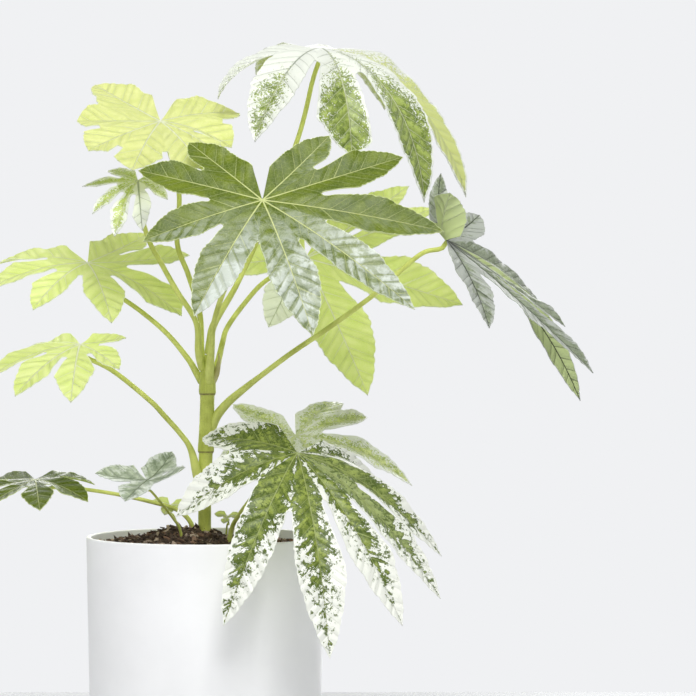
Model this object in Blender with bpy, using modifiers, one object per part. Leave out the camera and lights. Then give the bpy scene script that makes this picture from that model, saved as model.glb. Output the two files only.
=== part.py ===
"""Potted fatsia: a turned pot, its soil, an upright stem, leaf stalks and lobed leaf blades.

Metres, +Z up. The origin is the middle of the pot's foot, +X is the viewer's right and +Y points
away from the viewer. Sizes of pot and soil are in metres; places along the stalks and the lobes'
tips are in millimetres, because they are easier to read so.
"""
import math
from dataclasses import dataclass

import bmesh
import bpy
import numpy as np

MM = 0.001

# Pot and soil
POT_RIM_RADIUS = 0.107
POT_FOOT_RADIUS = 0.103
POT_HEIGHT = 0.200
POT_WALL = 0.004
POT_FLOOR = 0.006
POT_EDGE = 0.0012
POT_CORNER = 0.006
POT_SHARP_ANGLE = 40.0
SOIL_EDGE_LEVEL = 0.190
SOIL_MOUND_HEIGHT = 0.016
SOIL_MOUND_RADIUS = 0.050
SOIL_MOUND_CENTRE = (-0.020, 0.0)
SOIL_MOUND_FALL = 1.1
SOIL_LUMP = 0.0016
SOIL_WAVES = (310.0, 270.0, 520.0)
SOIL_PHASES = (1.3, 0.4)
SOIL_RINGS = 8
SOIL_SHOULDER = 0.002
SOIL_CORNER = 0.008
TURN_STEPS = 44

# Clearance between touching pieces, and the distances within which points are welded
GAP = 0.0003
WELD = 0.00002
TURN_WELD = 0.00005
MESH_WELD = 0.000001

# Leaf blades
BLADE_THICKNESS = 0.0008
OUTER_NECK = 1.15
EVENNESS = 0.55
WIDEST = 0.42
TOOTH_FROM = 0.24
TOOTH_TO = 0.93
TOOTH_CREST = 0.78
TOOTH_SIZE = 0.17
TOOTH_FADE = 0.5
TIP_ROUNDING = 0.75
SLOT_HALF = 0.0022
SLOT_OPENING = 12.0
BLEND_END = 1.9
FAN_RING = 0.5
MIDRIB_STEPS = 65
ELLIPSE_END = 0.985
TWIST_EASE = 1.5
FOLD = 0.18

# Stalks: the end and the last bend below a blade, and the radius past the base, in millimetres
STALK_END_DROP = 1.1
STALK_BEND_DROP = 9.0
STALK_SLIM = 2.5
STALK_SLIM_SHARE = 0.75
STALK_PROFILE = ((0.0, 1.0, 0.0), (0.10, 1.0, 0.0), (0.25, 0.0, 1.0), (0.97, 0.0, 0.9),
                 (1.0, 0.0, 0.6))
STALK_EXTRA_KNOTS = 7
HOLE_KNOTS = 6
CURVE_STEPS = 12

STEM_RINGS = (
    # height above the foot and radius, in millimetres; two old leaf scars stand out as rings
    (122, 5.8), (203, 5.8), (246, 6.0), (271, 6.2), (274, 7.4), (277, 7.0), (304, 7.0),
    (323, 6.9), (326, 7.7), (329, 7.0), (346, 7.0), (356, 5.8), (363, 4.2),
)
STEM_LEAN = ((122, -1.0), (246, -1.0), (304, 1.0), (363, 2.0))


@dataclass
class Leaf:
    """One leaf: where its blade meets the stalk, how it faces, its lobes and its stalk."""

    hub: tuple
    normal: tuple
    tips: tuple
    stalk: tuple
    base_radius: float
    width: float
    finish: str
    teeth: int = 3
    sinus: float = 0.36
    basal: float = 1.1
    arch: float = 0.0
    notches: tuple = ()
    fold: float = FOLD


# The tips are offsets from the hub in millimetres, listed counter-clockwise as seen on the upper
# face, from one side of the notch at the stalk to the other. A lobe's twist in degrees, its breadth
# over the usual one and its arch may follow. The notches are shares of the length of the lobes on
# both sides, sinus being the usual one. The stalk's points end short of the hub, below the blade.
LEAVES = {
    "main": Leaf(
        hub=(55, -120, 495), normal=(0.03, -0.74, 0.67), width=0.145, finish="plain", teeth=4,
        basal=1.2,
        notches=(0.59, 0.40, 0.38, 0.37, 0.36, 0.36, 0.35, 0.50),
        tips=((-66, 48, 53, 0, 0.85), (-108, 24, 27), (-100, -24, -36), (-55, -58, -100),
              (44, -60, -116), (129, -44, -94, 0, 0.82), (155, -2, -27), (121, 42, 40, 0, 1.1),
              (57, 47, 59, 0, 0.85)),
        stalk=((3, -4, 338), (4, -9, 350), (6, -18, 369), (9, -30, 392), (19, -50, 420),
               (37, -82, 455)),
        base_radius=4.0),
    "top": Leaf(
        hub=(103, 20, 641), normal=(0.05, -0.16, 0.99), width=0.16, finish="marbled",
        sinus=0.24, basal=0.8, arch=0.9,
        notches=(0.42, 0.36, 0.38, 0.34, 0.34, 0.30),
        tips=((-92, -20, -48, 0, 1.1), (-56, -98, -93, 0, 0.88, 0.3), (28, -72, -104, 0, 1.6),
              (92, -70, -144, 0, 0.85, 1.0), (133, 20, -134, 45, 0.65, 0.45), (60, 118, -45),
              (-60, 105, -20)),
        stalk=((2, 0, 363.3), (4, 1, 376), (8, 2, 392), (28, 6, 427), (50, 10, 476),
               (82, 16, 557), (96, 19, 612)),
        base_radius=3.6),
    "upper_left": Leaf(
        hub=(-40, -10, 572), normal=(0.0, -0.45, 0.89), width=0.29, finish="pale", teeth=2,
        sinus=0.46, basal=1.2,
        notches=(0.72, 0.72, 0.76, 0.76, 0.76, 0.48, 0.74),
        tips=((-66, 72, 40, 0, 0.66), (-75, 0, 0), (-60, -45, -30), (-20, -60, -48),
              (43, -60, -48), (52, -35, -30), (64, -6, -24), (66, 48, 12)),
        stalk=((-3, 4, 351), (-5, 8, 366), (-6, 8, 401), (-16, 5, 435), (-26, 3, 464),
               (-24, 0, 507), (-33, -5, 548)),
        base_radius=3.6),
    "left": Leaf(
        hub=(-59, -25, 518), normal=(-0.05, -0.45, 0.89), width=0.15, finish="marbled", teeth=2,
        tips=((-30, 35, 11), (-50, 5, -5), (-38, -25, -31), (-17, -45, -52), (8, -50, -47),
              (28, -20, -18), (28, 20, -5)),
        stalk=((-3, -3, 350), (-6, -9, 366), (-8, -13, 392), (-25, -16, 420), (-39, -18, 445),
               (-50, -20, 466), (-58, -20, 495)),
        base_radius=3.6),
    "side_left": Leaf(
        hub=(-111, 45, 447), normal=(0.1, -0.35, 0.93), width=0.19, finish="pale", teeth=2,
        tips=((-90, 45, 0), (-95, -20, -28), (-44, -50, -44), (28, -62, -56),
              (88, -25, -49, 0, 1.7), (92, 25, 8, 0, 1.6), (50, 80, 30)),
        stalk=((-4, 2, 338), (-10, 5, 349), (-17, 8, 360), (-36, 16, 382), (-60, 26, 402),
               (-88, 38, 421)),
        base_radius=3.2),
    "low_left": Leaf(
        hub=(-110, -30, 372), normal=(0.0, -0.3, 0.95), width=0.20, finish="pale", teeth=2,
        tips=((-62, 56, -14), (-86, -10, -34), (-50, -60, -45), (0, -75, -50), (38, -35, -22),
              (40, 12, 6)),
        stalk=((-3, -2, 241), (-7, -5, 254), (-13, -8, 278), (-22, -10, 292), (-36, -13, 308),
               (-49, -16, 322), (-82, -24, 349)),
        base_radius=4.6),
    "back_right": Leaf(
        hub=(88, 90, 453), normal=(0.1, -0.75, 0.65), width=0.16, finish="pale",
        notches=(0.36, 0.36, 0.36, 0.27, 0.36, 0.30),
        tips=((-60, 60, 60), (-95, -15, -10), (-33, -45, -65), (58, -80, -127, 0, 1.2),
              (147, -10, -44, 0, 1.3), (123, 55, 50, 0, 0.75), (99, 72, 72, 0, 0.75)),
        stalk=((5, 4, 340), (10, 12, 355), (14, 22, 374), (18, 32, 388), (32, 50, 409),
               (50, 70, 430), (74, 96, 445)),
        base_radius=3.4),
    "right": Leaf(
        hub=(216, -20, 465), normal=(0.5, -0.35, 0.79), width=0.14, finish="silver", sinus=0.34,
        tips=((34, -75, -79, 0, 0.85), (126, -50, -118), (105, -8, -77),
              (125, 60, -145, 85, 0.55), (95, 75, -66), (33, 70, 26, 0, 1.1),
              (-4, 30, 62, -60, 0.65), (2, -25, 41, 75, 1.5)),
        stalk=((3, 0, 290), (6, 0, 299), (10, -1, 308), (20, -3, 320), (33, -5, 331),
               (51, -7, 345), (78, -10, 365), (112, -13, 388), (153, -16, 418), (175, -18, 438),
               (195, -19, 454)),
        base_radius=4.4),
    "low_front": Leaf(
        hub=(84, -85, 278), normal=(0.12, -0.62, 0.77), width=0.12, finish="edged", teeth=4,
        sinus=0.30, basal=1.0,
        notches=(0.55, 0.33, 0.36, 0.30, 0.36, 0.34, 0.34),
        tips=((-84, 35, 12, 0, 1.35), (-104, -15, -54, 0, 1.15), (-61, -62, -143, 0, 0.92),
              (29, -85, -168), (90, -55, -144, 0, 0.92), (124, -5, -126, 0, 0.7),
              (126, 30, -92, 0, 0.7), (69, 55, -27, 0, 0.8)),
        stalk=((21, -25, 185), (24, -28, 206), (30, -36, 219), (48, -56, 243), (68, -75, 264)),
        base_radius=2.6),
    "low_back": Leaf(
        hub=(80, 40, 289), normal=(0.0, -0.45, 0.89), width=0.16, finish="marbled", teeth=2,
        basal=0.9,
        notches=(0.36, 0.36, 0.36, 0.36, 0.24, 0.8),
        tips=((-60, 50, 27), (-77, 15, -34, 0, 1.4), (-20, -55, -65), (45, -50, -70),
              (107, 15, -47), (66, 45, 15), (34, 75, 29)),
        stalk=((3, 1, 241), (7, 3, 250), (11, 6, 257), (24, 12, 263), (46, 24, 267),
               (68, 36, 274)),
        base_radius=3.2),
    "shoot_left": Leaf(
        hub=(-48, -60, 253), normal=(0.0, -0.3, 0.95), width=0.30, finish="silver", teeth=2,
        tips=((-46, 4, 6, 0, 1.3), (-16, -40, -16), (34, -12, 12, 0, 1.2), (20, 30, 24)),
        stalk=((-19, -25, 185), (-21, -27, 206), (-27, -34, 218), (-44, -54, 242)),
        base_radius=1.7),
    "far_left": Leaf(
        hub=(-157, 30, 249), normal=(-0.1, -0.2, 0.97), width=0.20, finish="plain", teeth=2,
        tips=((-58, 40, -8), (-70, -15, -14), (-38, -56, -22), (12, -66, -24), (52, -38, -18),
              (52, 24, -6)),
        stalk=((-11, 9, 185), (-12, 9, 204), (-16, 10, 214), (-26, 14, 222), (-41, 18, 227),
               (-83, 26, 236), (-130, 30, 242)),
        base_radius=2.6),
    "young_left": Leaf(
        hub=(-34, 26, 226), normal=(0.1, -0.5, 0.85), width=0.34, finish="pale", teeth=1,
        tips=((-16, 6, 4), (-4, -14, -8), (15, -2, 3)),
        stalk=((-26, 22, 185), (-27, 23, 206), (-31, 26, 217)),
        base_radius=1.2),
    "young_right": Leaf(
        hub=(19, 12, 217), normal=(-0.1, -0.5, 0.85), width=0.34, finish="pale", teeth=1,
        tips=((-12, 2, 2), (-3, -10, -6), (11, -3, 1)),
        stalk=((17, 14, 185), (18, 14, 204), (19, 14, 210)),
        base_radius=1.2),
}

BUD_POINTS = ((6, -1, 336), (10, -1, 347), (12, -1, 358), (11.5, -1, 364))
BUD_RADII = (2.4, 2.9, 2.0, 0.6)
BUD_KNOTS = 7

FINISHES = {
    "pot": ((0.84, 0.84, 0.83), 0.55),
    "soil": ((0.06, 0.035, 0.022), 0.95),
    "bark": ((0.30, 0.36, 0.07), 0.55),
    "stalk": ((0.38, 0.46, 0.09), 0.50),
    "bud": ((0.30, 0.38, 0.14), 0.55),
    "plain": ((0.13, 0.25, 0.03), 0.30),
    "pale": ((0.48, 0.60, 0.15), 0.45),
    "marbled": ((0.45, 0.55, 0.26), 0.40),
    "edged": ((0.62, 0.70, 0.45), 0.45),
    "silver": ((0.34, 0.40, 0.28), 0.35),
}


def clear_scene():
    """Remove every object that the scene holds."""
    for obj in list(bpy.data.objects):
        bpy.data.objects.remove(obj, do_unlink=True)


def make_collection(name):
    """Add a collection to the scene and return it."""
    group = bpy.data.collections.new(name)
    bpy.context.scene.collection.children.link(group)
    return group


def make_material(name):
    """Return the Principled material of one finish, made once."""
    known = bpy.data.materials.get(name)
    if known:
        return known
    colour, roughness = FINISHES[name]
    material = bpy.data.materials.new(name)
    material.use_nodes = True
    shader = material.node_tree.nodes["Principled BSDF"]
    shader.inputs["Base Color"].default_value = (*colour, 1.0)
    shader.inputs["Roughness"].default_value = roughness
    shader.inputs["Metallic"].default_value = 0.0
    return material


def add_object(name, mesh, group, finish=None):
    """Link a mesh as a named object of a collection, smooth shaded, in its finish."""
    obj = bpy.data.objects.new(name, mesh)
    group.objects.link(obj)
    if finish:
        mesh.materials.append(make_material(finish))
    mesh.shade_smooth()
    return obj


def evaluated_mesh(obj):
    """Return an object's mesh with its modifiers applied and doubled points welded."""
    graph = bpy.context.evaluated_depsgraph_get()
    mesh = bpy.data.meshes.new_from_object(obj.evaluated_get(graph))
    form = bmesh.new()
    form.from_mesh(mesh)
    bmesh.ops.remove_doubles(form, verts=form.verts, dist=MESH_WELD)
    form.to_mesh(mesh)
    form.free()
    return mesh


def turned_mesh(name, profile, group):
    """Turn a profile of (radius, height) points round +Z and return the closed mesh."""
    form = bmesh.new()
    points = [form.verts.new((radius, 0.0, height)) for radius, height in profile]
    for start, end in zip(points, points[1:]):
        form.edges.new((start, end))
    mesh = bpy.data.meshes.new(name)
    form.to_mesh(mesh)
    form.free()
    obj = bpy.data.objects.new(name + "_profile", mesh)
    group.objects.link(obj)
    screw = obj.modifiers.new("turn", "SCREW")
    screw.steps = TURN_STEPS
    screw.render_steps = TURN_STEPS
    screw.use_merge_vertices = True
    screw.merge_threshold = TURN_WELD
    turned = evaluated_mesh(obj)
    bpy.data.objects.remove(obj, do_unlink=True)
    return turned


def build_pot(group):
    """Make the near-cylindrical pot: a turned wall and floor with rounded edges."""
    inner_rim = POT_RIM_RADIUS - POT_WALL
    inner_foot = POT_FOOT_RADIUS - POT_WALL
    profile = (
        (0.0, POT_FLOOR),
        (inner_foot - POT_CORNER, POT_FLOOR),
        (inner_foot, POT_FLOOR + POT_CORNER),
        (inner_rim, POT_HEIGHT - POT_EDGE),
        (inner_rim + POT_EDGE, POT_HEIGHT),
        (POT_RIM_RADIUS - POT_EDGE, POT_HEIGHT),
        (POT_RIM_RADIUS, POT_HEIGHT - POT_EDGE),
        (POT_FOOT_RADIUS, POT_EDGE * 2),
        (POT_FOOT_RADIUS - POT_EDGE * 2, 0.0),
        (0.0, 0.0),
    )
    pot = add_object("pot", turned_mesh("pot", profile, group), group, "pot")
    pot.data.set_sharp_from_angle(angle=math.radians(POT_SHARP_ANGLE))
    return pot


def soil_rise(x, y):
    """Height of the soil's mound and lumps over its edge level at a place on the soil."""
    reach = math.hypot(x - SOIL_MOUND_CENTRE[0], y - SOIL_MOUND_CENTRE[1]) / SOIL_MOUND_RADIUS
    mound = SOIL_MOUND_HEIGHT * math.exp(-reach * reach * SOIL_MOUND_FALL)
    across = math.sin(x * SOIL_WAVES[0] + SOIL_PHASES[0])
    along = math.sin(y * SOIL_WAVES[1] + SOIL_PHASES[1])
    lump = across * along + math.sin((x + y) * SOIL_WAVES[2])
    return mound + SOIL_LUMP * lump


def build_soil(group):
    """Make the soil: it fills the pot and rises to a lumpy mound round the stem."""
    side = POT_RIM_RADIUS - POT_WALL - GAP
    taper = (POT_RIM_RADIUS - POT_FOOT_RADIUS) / POT_HEIGHT
    top = side - (POT_HEIGHT - SOIL_EDGE_LEVEL) * taper
    foot = POT_FOOT_RADIUS - POT_WALL - GAP
    rings = [(top * step / SOIL_RINGS, SOIL_EDGE_LEVEL) for step in range(SOIL_RINGS)]
    profile = rings + [(top, SOIL_EDGE_LEVEL - SOIL_SHOULDER), (foot, POT_FLOOR + SOIL_CORNER),
                       (foot - SOIL_CORNER, POT_FLOOR + GAP), (0.0, POT_FLOOR + GAP)]
    mesh = turned_mesh("soil", profile, group)
    for vertex in mesh.vertices:
        if vertex.co.z > SOIL_EDGE_LEVEL - 0.5 * SOIL_SHOULDER:
            vertex.co.z += soil_rise(vertex.co.x, vertex.co.y)
    return add_object("soil", mesh, group, "soil")


def smooth_path(points, count):
    """Return points evenly spread along a smooth curve through the given ones, in metres."""
    knots = np.array(points, dtype=float) * MM
    padded = np.vstack([2 * knots[0] - knots[1], knots, 2 * knots[-1] - knots[-2]])
    dense = []
    for a, b, c, d in zip(padded, padded[1:], padded[2:], padded[3:]):
        for t in np.linspace(0.0, 1.0, CURVE_STEPS, endpoint=False):
            dense.append(0.5 * (2 * b + (c - a) * t + (2 * a - 5 * b + 4 * c - d) * t ** 2
                                + (3 * b - a - 3 * c + d) * t ** 3))
    dense.append(padded[-2])
    dense = np.array(dense)
    lengths = np.concatenate([[0.0], np.cumsum(np.linalg.norm(np.diff(dense, axis=0), axis=1))])
    wanted = np.linspace(0.0, lengths[-1], count)
    return np.column_stack([np.interp(wanted, lengths, dense[:, axis]) for axis in range(3)])


def tube_mesh(name, points, radii, group, resolution=2):
    """Sweep a round section of changing radius along points and return the closed mesh."""
    curve = bpy.data.curves.new(name, "CURVE")
    curve.dimensions = "3D"
    curve.bevel_depth = 1.0
    curve.bevel_resolution = resolution
    curve.use_fill_caps = True
    spline = curve.splines.new("POLY")
    spline.points.add(len(points) - 1)
    for knot, place, radius in zip(spline.points, points, radii):
        knot.co = (*place, 1.0)
        knot.radius = radius
    obj = bpy.data.objects.new(name + "_path", curve)
    group.objects.link(obj)
    mesh = evaluated_mesh(obj)
    bpy.data.objects.remove(obj, do_unlink=True)
    bpy.data.curves.remove(curve)
    return mesh


def stem_points():
    """Return the stem's centre points and radii from the bottom up, in metres."""
    heights = [height for height, radius in STEM_RINGS]
    lean = np.interp(heights, *zip(*STEM_LEAN))
    points = [(x * MM, 0.0, height * MM) for x, height in zip(lean, heights)]
    return points, [radius * MM for height, radius in STEM_RINGS]


def build_stem(group):
    """Make the upright stem with its two raised leaf scars."""
    points, radii = stem_points()
    return add_object("stem", tube_mesh("stem", points, radii, group, resolution=4), group, "bark")


def grown_stem(cutters):
    """Make the stem a gap thicker, to cut what is seated on it and its hole in the soil."""
    points, radii = stem_points()
    low = (points[0][0], points[0][1], points[0][2] - GAP)
    high = (points[-1][0], points[-1][1], points[-1][2] + GAP * 0.5)
    mesh = tube_mesh("stem_cutter", [low] + points[1:-1] + [high], [r + GAP for r in radii],
                     cutters, resolution=4)
    return add_cutter("stem_cutter", mesh, cutters)


def add_cutter(name, mesh, cutters):
    """Link a mesh that only cuts, shown as wires and left out of renders."""
    obj = add_object(name, mesh, cutters)
    obj.hide_render = True
    obj.display_type = "WIRE"
    return obj


def cut(obj, cutter):
    """Take a cutter's shape out of an object with a Boolean modifier."""
    boolean = obj.modifiers.new("cut_" + cutter.name, "BOOLEAN")
    boolean.operation = "DIFFERENCE"
    boolean.solver = "EXACT"
    boolean.object = cutter


class Lobe:
    """One lobe of a blade: a midrib that starts in the leaf's plane and droops in an arch."""

    def __init__(self, spec, normal, arch):
        """Work out the lobe's direction, reach, droop and length from its tip's offset.

        The tip's offset may be followed by a twist in degrees, a breadth over the usual one and an
        arch: how far the droop goes from a parabola, 0, to a quarter ellipse, 1.
        """
        tip = np.array(spec[:3], dtype=float) * MM
        self.twist = math.radians(spec[3]) if len(spec) > 3 else 0.0
        self.breadth = spec[4] if len(spec) > 4 else 1.0
        arch = spec[5] if len(spec) > 5 else arch
        self.normal = normal
        self.drop = -float(tip @ normal)
        flat = tip + self.drop * normal
        self.reach = float(np.linalg.norm(flat))
        self.along = flat / self.reach
        self.side = np.cross(normal, self.along)
        steps = np.linspace(0.0, 1.0, MIDRIB_STEPS)
        self.out = self.reach * steps
        ellipse = 1.0 - np.sqrt(1.0 - (ELLIPSE_END * steps) ** 2)
        self.down = self.drop * ((1.0 - arch) * steps ** 2 + arch * ellipse / ellipse[-1])
        self.slope = np.gradient(self.down, self.out)
        strides = np.hypot(np.diff(self.out), np.diff(self.down))
        self.lengths = np.concatenate([[0.0], np.cumsum(strides)])
        self.length = float(self.lengths[-1])

    def reach_at(self, s):
        """Return how far from the hub's axis the midrib is at a distance along it."""
        return float(np.interp(s, self.lengths, self.out))

    def point(self, s, w, lift):
        """Return the place at a distance along the midrib, to its side and over the surface."""
        out = np.interp(s, self.lengths, self.out)
        down = np.interp(s, self.lengths, self.down)
        slope = float(np.interp(s, self.lengths, self.slope))
        upright = (self.along * slope + self.normal) / math.hypot(1.0, slope)
        turn = self.twist * min(1.0, max(0.0, s / self.length)) ** TWIST_EASE
        sideways = self.side * math.cos(turn) + upright * math.sin(turn)
        upright = upright * math.cos(turn) - self.side * math.sin(turn)
        return self.along * out - self.normal * down + sideways * w + upright * lift


class Blade:
    """A lobed blade as an open sheet: a fan round the hub and a toothed strip for each lobe."""

    def __init__(self, leaf):
        """Set up the lobes and the angles between neighbours."""
        self.leaf = leaf
        self.hub = np.array(leaf.hub, dtype=float) * MM
        self.normal = np.array(leaf.normal) / np.linalg.norm(leaf.normal)
        self.lobes = [Lobe(tip, self.normal, leaf.arch) for tip in leaf.tips]
        self.turns = [self.turn_between(a, b) for a, b in zip(self.lobes, self.lobes[1:])]
        self.mean_length = sum(lobe.length for lobe in self.lobes) / len(self.lobes)

    @staticmethod
    def turn_between(first, second):
        """Return the angle from one lobe to the next round the hub."""
        return math.atan2(float(second.along @ first.side), float(second.along @ first.along))

    def neighbour(self, index, side):
        """Return the next lobe on a side and half the angle to it, or None."""
        other = index + side
        if 0 <= other < len(self.lobes):
            return self.lobes[other], 0.5 * self.turns[min(index, other)]
        return None, 0.0

    def notch_radius(self, index, side):
        """Return how far from the hub the notch on a side of a lobe lies."""
        other = self.lobes[index + side]
        notches = self.leaf.notches
        share = notches[min(index, index + side)] if notches else self.leaf.sinus
        return share * 0.5 * (self.lobes[index].length + other.length)

    def sinus(self, index, side):
        """Return the place of the notch beside a lobe: along its midrib and to its side."""
        lobe = self.lobes[index]
        other, half = self.neighbour(index, side)
        if other is None:
            return self.leaf.sinus * lobe.length, OUTER_NECK * self.broad(index, side)
        radius = self.notch_radius(index, side)
        return radius * math.cos(half), radius * math.sin(half)

    def broad(self, index, side):
        """Return a lobe's broadest half width: short lobes are broad for their length."""
        lobe = self.lobes[index]
        even = (1.0 - EVENNESS) * lobe.length + EVENNESS * self.mean_length
        outer = self.neighbour(index, side)[0] is None
        return self.leaf.width * lobe.breadth * even * (self.leaf.basal if outer else 1.0)

    def half_width(self, index, side, v):
        """Return the half width of a lobe at a share v of the way from its notch to its tip."""
        lobe = self.lobes[index]
        start, neck = self.sinus(index, side)
        if v <= 0.0:
            return neck
        other, half = self.neighbour(index, side)
        broad = self.broad(index, side)
        if v < WIDEST:
            x = v / WIDEST
            width = neck + (broad - neck) * x * x * (3.0 - 2.0 * x)
        else:
            x = (v - WIDEST) / (1.0 - WIDEST)
            width = broad * (1.0 - x) * (1.0 + TIP_ROUNDING * x)
        width += TOOTH_SIZE * broad * (1.0 - TOOTH_FADE * v) * self.tooth(v)
        if other is not None:
            s = start + v * (lobe.length - start)
            slot = SLOT_HALF * min(1.0, v * SLOT_OPENING)
            width = min(width, lobe.reach_at(s) * math.tan(half) - slot)
        return max(width, 0.0)

    def tooth(self, v):
        """Return the saw edge from 0 in a notch to 1 on a crest, at a share v of the lobe."""
        if not TOOTH_FROM < v < TOOTH_TO:
            return 0.0
        phase = (v - TOOTH_FROM) / (TOOTH_TO - TOOTH_FROM) * self.leaf.teeth % 1.0
        return phase / TOOTH_CREST if phase < TOOTH_CREST else (1.0 - phase) / (1.0 - TOOTH_CREST)

    def shares(self):
        """Return the rows of a lobe as shares of its free length: notches, teeth and tip."""
        pitch = (TOOTH_TO - TOOTH_FROM) / self.leaf.teeth
        rows = [0.0, 0.5 * TOOTH_FROM]
        for tooth in range(self.leaf.teeth):
            rows += [TOOTH_FROM + tooth * pitch, TOOTH_FROM + (tooth + TOOTH_CREST) * pitch]
        return rows + [TOOTH_TO]

    def place(self, index, s, w):
        """Return a point of the sheet, blended with the next lobe near the notch between them."""
        lobe = self.lobes[index]
        sinus = self.leaf.sinus
        lift = self.leaf.fold * abs(w) * min(1.0, s / (sinus * lobe.length))
        own = lobe.point(s, w, lift)
        side = 1 if w >= 0.0 else -1
        other, half = self.neighbour(index, side)
        if other is None or s <= 0.0 or w == 0.0:
            return self.hub + own
        radius = math.hypot(s, w)
        turn = math.atan2(abs(w), s)
        edge = self.notch_radius(index, side)
        past = (BLEND_END * edge - radius) / ((BLEND_END - 1.0) * edge)
        fade = min(1.0, max(0.0, past))
        share = 0.5 * min(1.0, turn / half) ** 2 * fade
        far = 2.0 * half - turn
        across = radius * math.sin(far)
        over = self.leaf.fold * across * min(1.0, s / (sinus * other.length))
        theirs = other.point(radius * math.cos(far), -side * across, over)
        return self.hub + (1.0 - share) * own + share * theirs

    def sheet(self, name):
        """Return the blade's open sheet of triangles, which Solidify then thickens."""
        form = bmesh.new()
        hub = form.verts.new(self.hub)
        for index in range(len(self.lobes)):
            self.add_lobe(form, hub, index)
        bmesh.ops.remove_doubles(form, verts=form.verts, dist=WELD)
        mesh = bpy.data.meshes.new(name)
        form.to_mesh(mesh)
        form.free()
        return mesh

    def add_lobe(self, form, hub, index):
        """Add one lobe's share of the fan and its strip of rows."""
        lobe = self.lobes[index]
        starts = {side: self.sinus(index, side)[0] for side in (-1, 1)}
        starts[0] = 0.5 * (starts[-1] + starts[1])
        rows = []
        for fan, v in [(FAN_RING, 0.0)] + [(1.0, v) for v in self.shares()]:
            row = []
            for side in (-1, 0, 1):
                s = starts[side] + v * (lobe.length - starts[side])
                w = side * self.half_width(index, side, v) if side else 0.0
                row.append(form.verts.new(self.place(index, fan * s, fan * w)))
            rows.append(row)
        tip = form.verts.new(self.place(index, lobe.length, 0.0))
        right, mid, left = rows[0]
        form.faces.new((hub, right, mid))
        form.faces.new((hub, mid, left))
        for lower, upper in zip(rows, rows[1:]):
            form.faces.new((lower[0], upper[0], lower[1]))
            form.faces.new((upper[0], upper[1], lower[1]))
            form.faces.new((lower[1], upper[1], upper[2]))
            form.faces.new((lower[1], upper[2], lower[2]))
        last = rows[-1]
        form.faces.new((last[0], tip, last[1]))
        form.faces.new((last[1], tip, last[2]))


def build_blade(name, leaf, group):
    """Make a leaf's blade: its sheet, thickened by Solidify on both sides."""
    blade = Blade(leaf)
    obj = add_object("blade_" + name, blade.sheet(name), group, leaf.finish)
    solid = obj.modifiers.new("thickness", "SOLIDIFY")
    solid.thickness = BLADE_THICKNESS
    solid.offset = 0.0
    solid.use_even_offset = False
    return obj


def stalk_points(leaf):
    """Return a stalk's centre points and radii, from its base to just below the blade's hub."""
    normal = np.array(leaf.normal) / np.linalg.norm(leaf.normal)
    hub = np.array(leaf.hub, dtype=float)
    bend = hub - normal * STALK_BEND_DROP
    end = hub - normal * STALK_END_DROP
    knots = list(leaf.stalk) + [tuple(bend), tuple(end)]
    count = STALK_EXTRA_KNOTS + len(knots)
    points = smooth_path(knots, count)
    share = np.linspace(0.0, 1.0, count)
    slim = min(STALK_SLIM, leaf.base_radius * STALK_SLIM_SHARE)
    places = [place for place, base, thin in STALK_PROFILE]
    widths = [base * leaf.base_radius + thin * slim for place, base, thin in STALK_PROFILE]
    radii = np.interp(share, places, widths)
    return points, radii * MM


def build_stalk(name, leaf, group):
    """Make a leaf's stalk, wide at its base and slim below the blade."""
    points, radii = stalk_points(leaf)
    return add_object("stalk_" + name, tube_mesh(name, points, radii, group), group, "stalk")


def build_bud(group):
    """Make the closed bud beside the top of the stem."""
    points = smooth_path(BUD_POINTS, BUD_KNOTS)
    places = np.linspace(0, len(BUD_RADII) - 1, BUD_KNOTS)
    radii = np.interp(places, range(len(BUD_RADII)), BUD_RADII) * MM
    return add_object("bud", tube_mesh("bud", points, radii, group), group, "bud")


def main():
    """Build the whole plant in its pot."""
    clear_scene()
    parts = make_collection("potted_fatsia")
    cutters = make_collection("cutters")
    build_pot(parts)
    soil = build_soil(parts)
    build_stem(parts)
    stem_cutter = grown_stem(cutters)
    cut(soil, stem_cutter)
    cut(build_bud(parts), stem_cutter)
    for name, leaf in LEAVES.items():
        build_blade(name, leaf, parts)
        stalk = build_stalk(name, leaf, parts)
        if leaf.stalk[0][2] * MM < SOIL_EDGE_LEVEL:
            points, radii = stalk_points(leaf)
            points[0][2] -= GAP
            hole = tube_mesh(name + "_hole", points[:HOLE_KNOTS], radii[:HOLE_KNOTS] + GAP,
                             cutters)
            cut(soil, add_cutter(name + "_hole", hole, cutters))
        else:
            cut(stalk, stem_cutter)


main()
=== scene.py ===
"""Potted fatsia: the finished plant in its pot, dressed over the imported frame.

Every blade, stalk, stem, pot and soil piece stands for the frame's node of the same name. Places
along the stalks and the lobes' tips are in millimetres, all other sizes in metres. +Z is up, +X is
the viewer's right and +Y points away from the viewer.
"""
import logging
import math
import random
from collections.abc import Callable
from dataclasses import dataclass, field, replace
from enum import Enum

import bpy
import numpy as np
from mathutils import Matrix, Vector, noise


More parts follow.
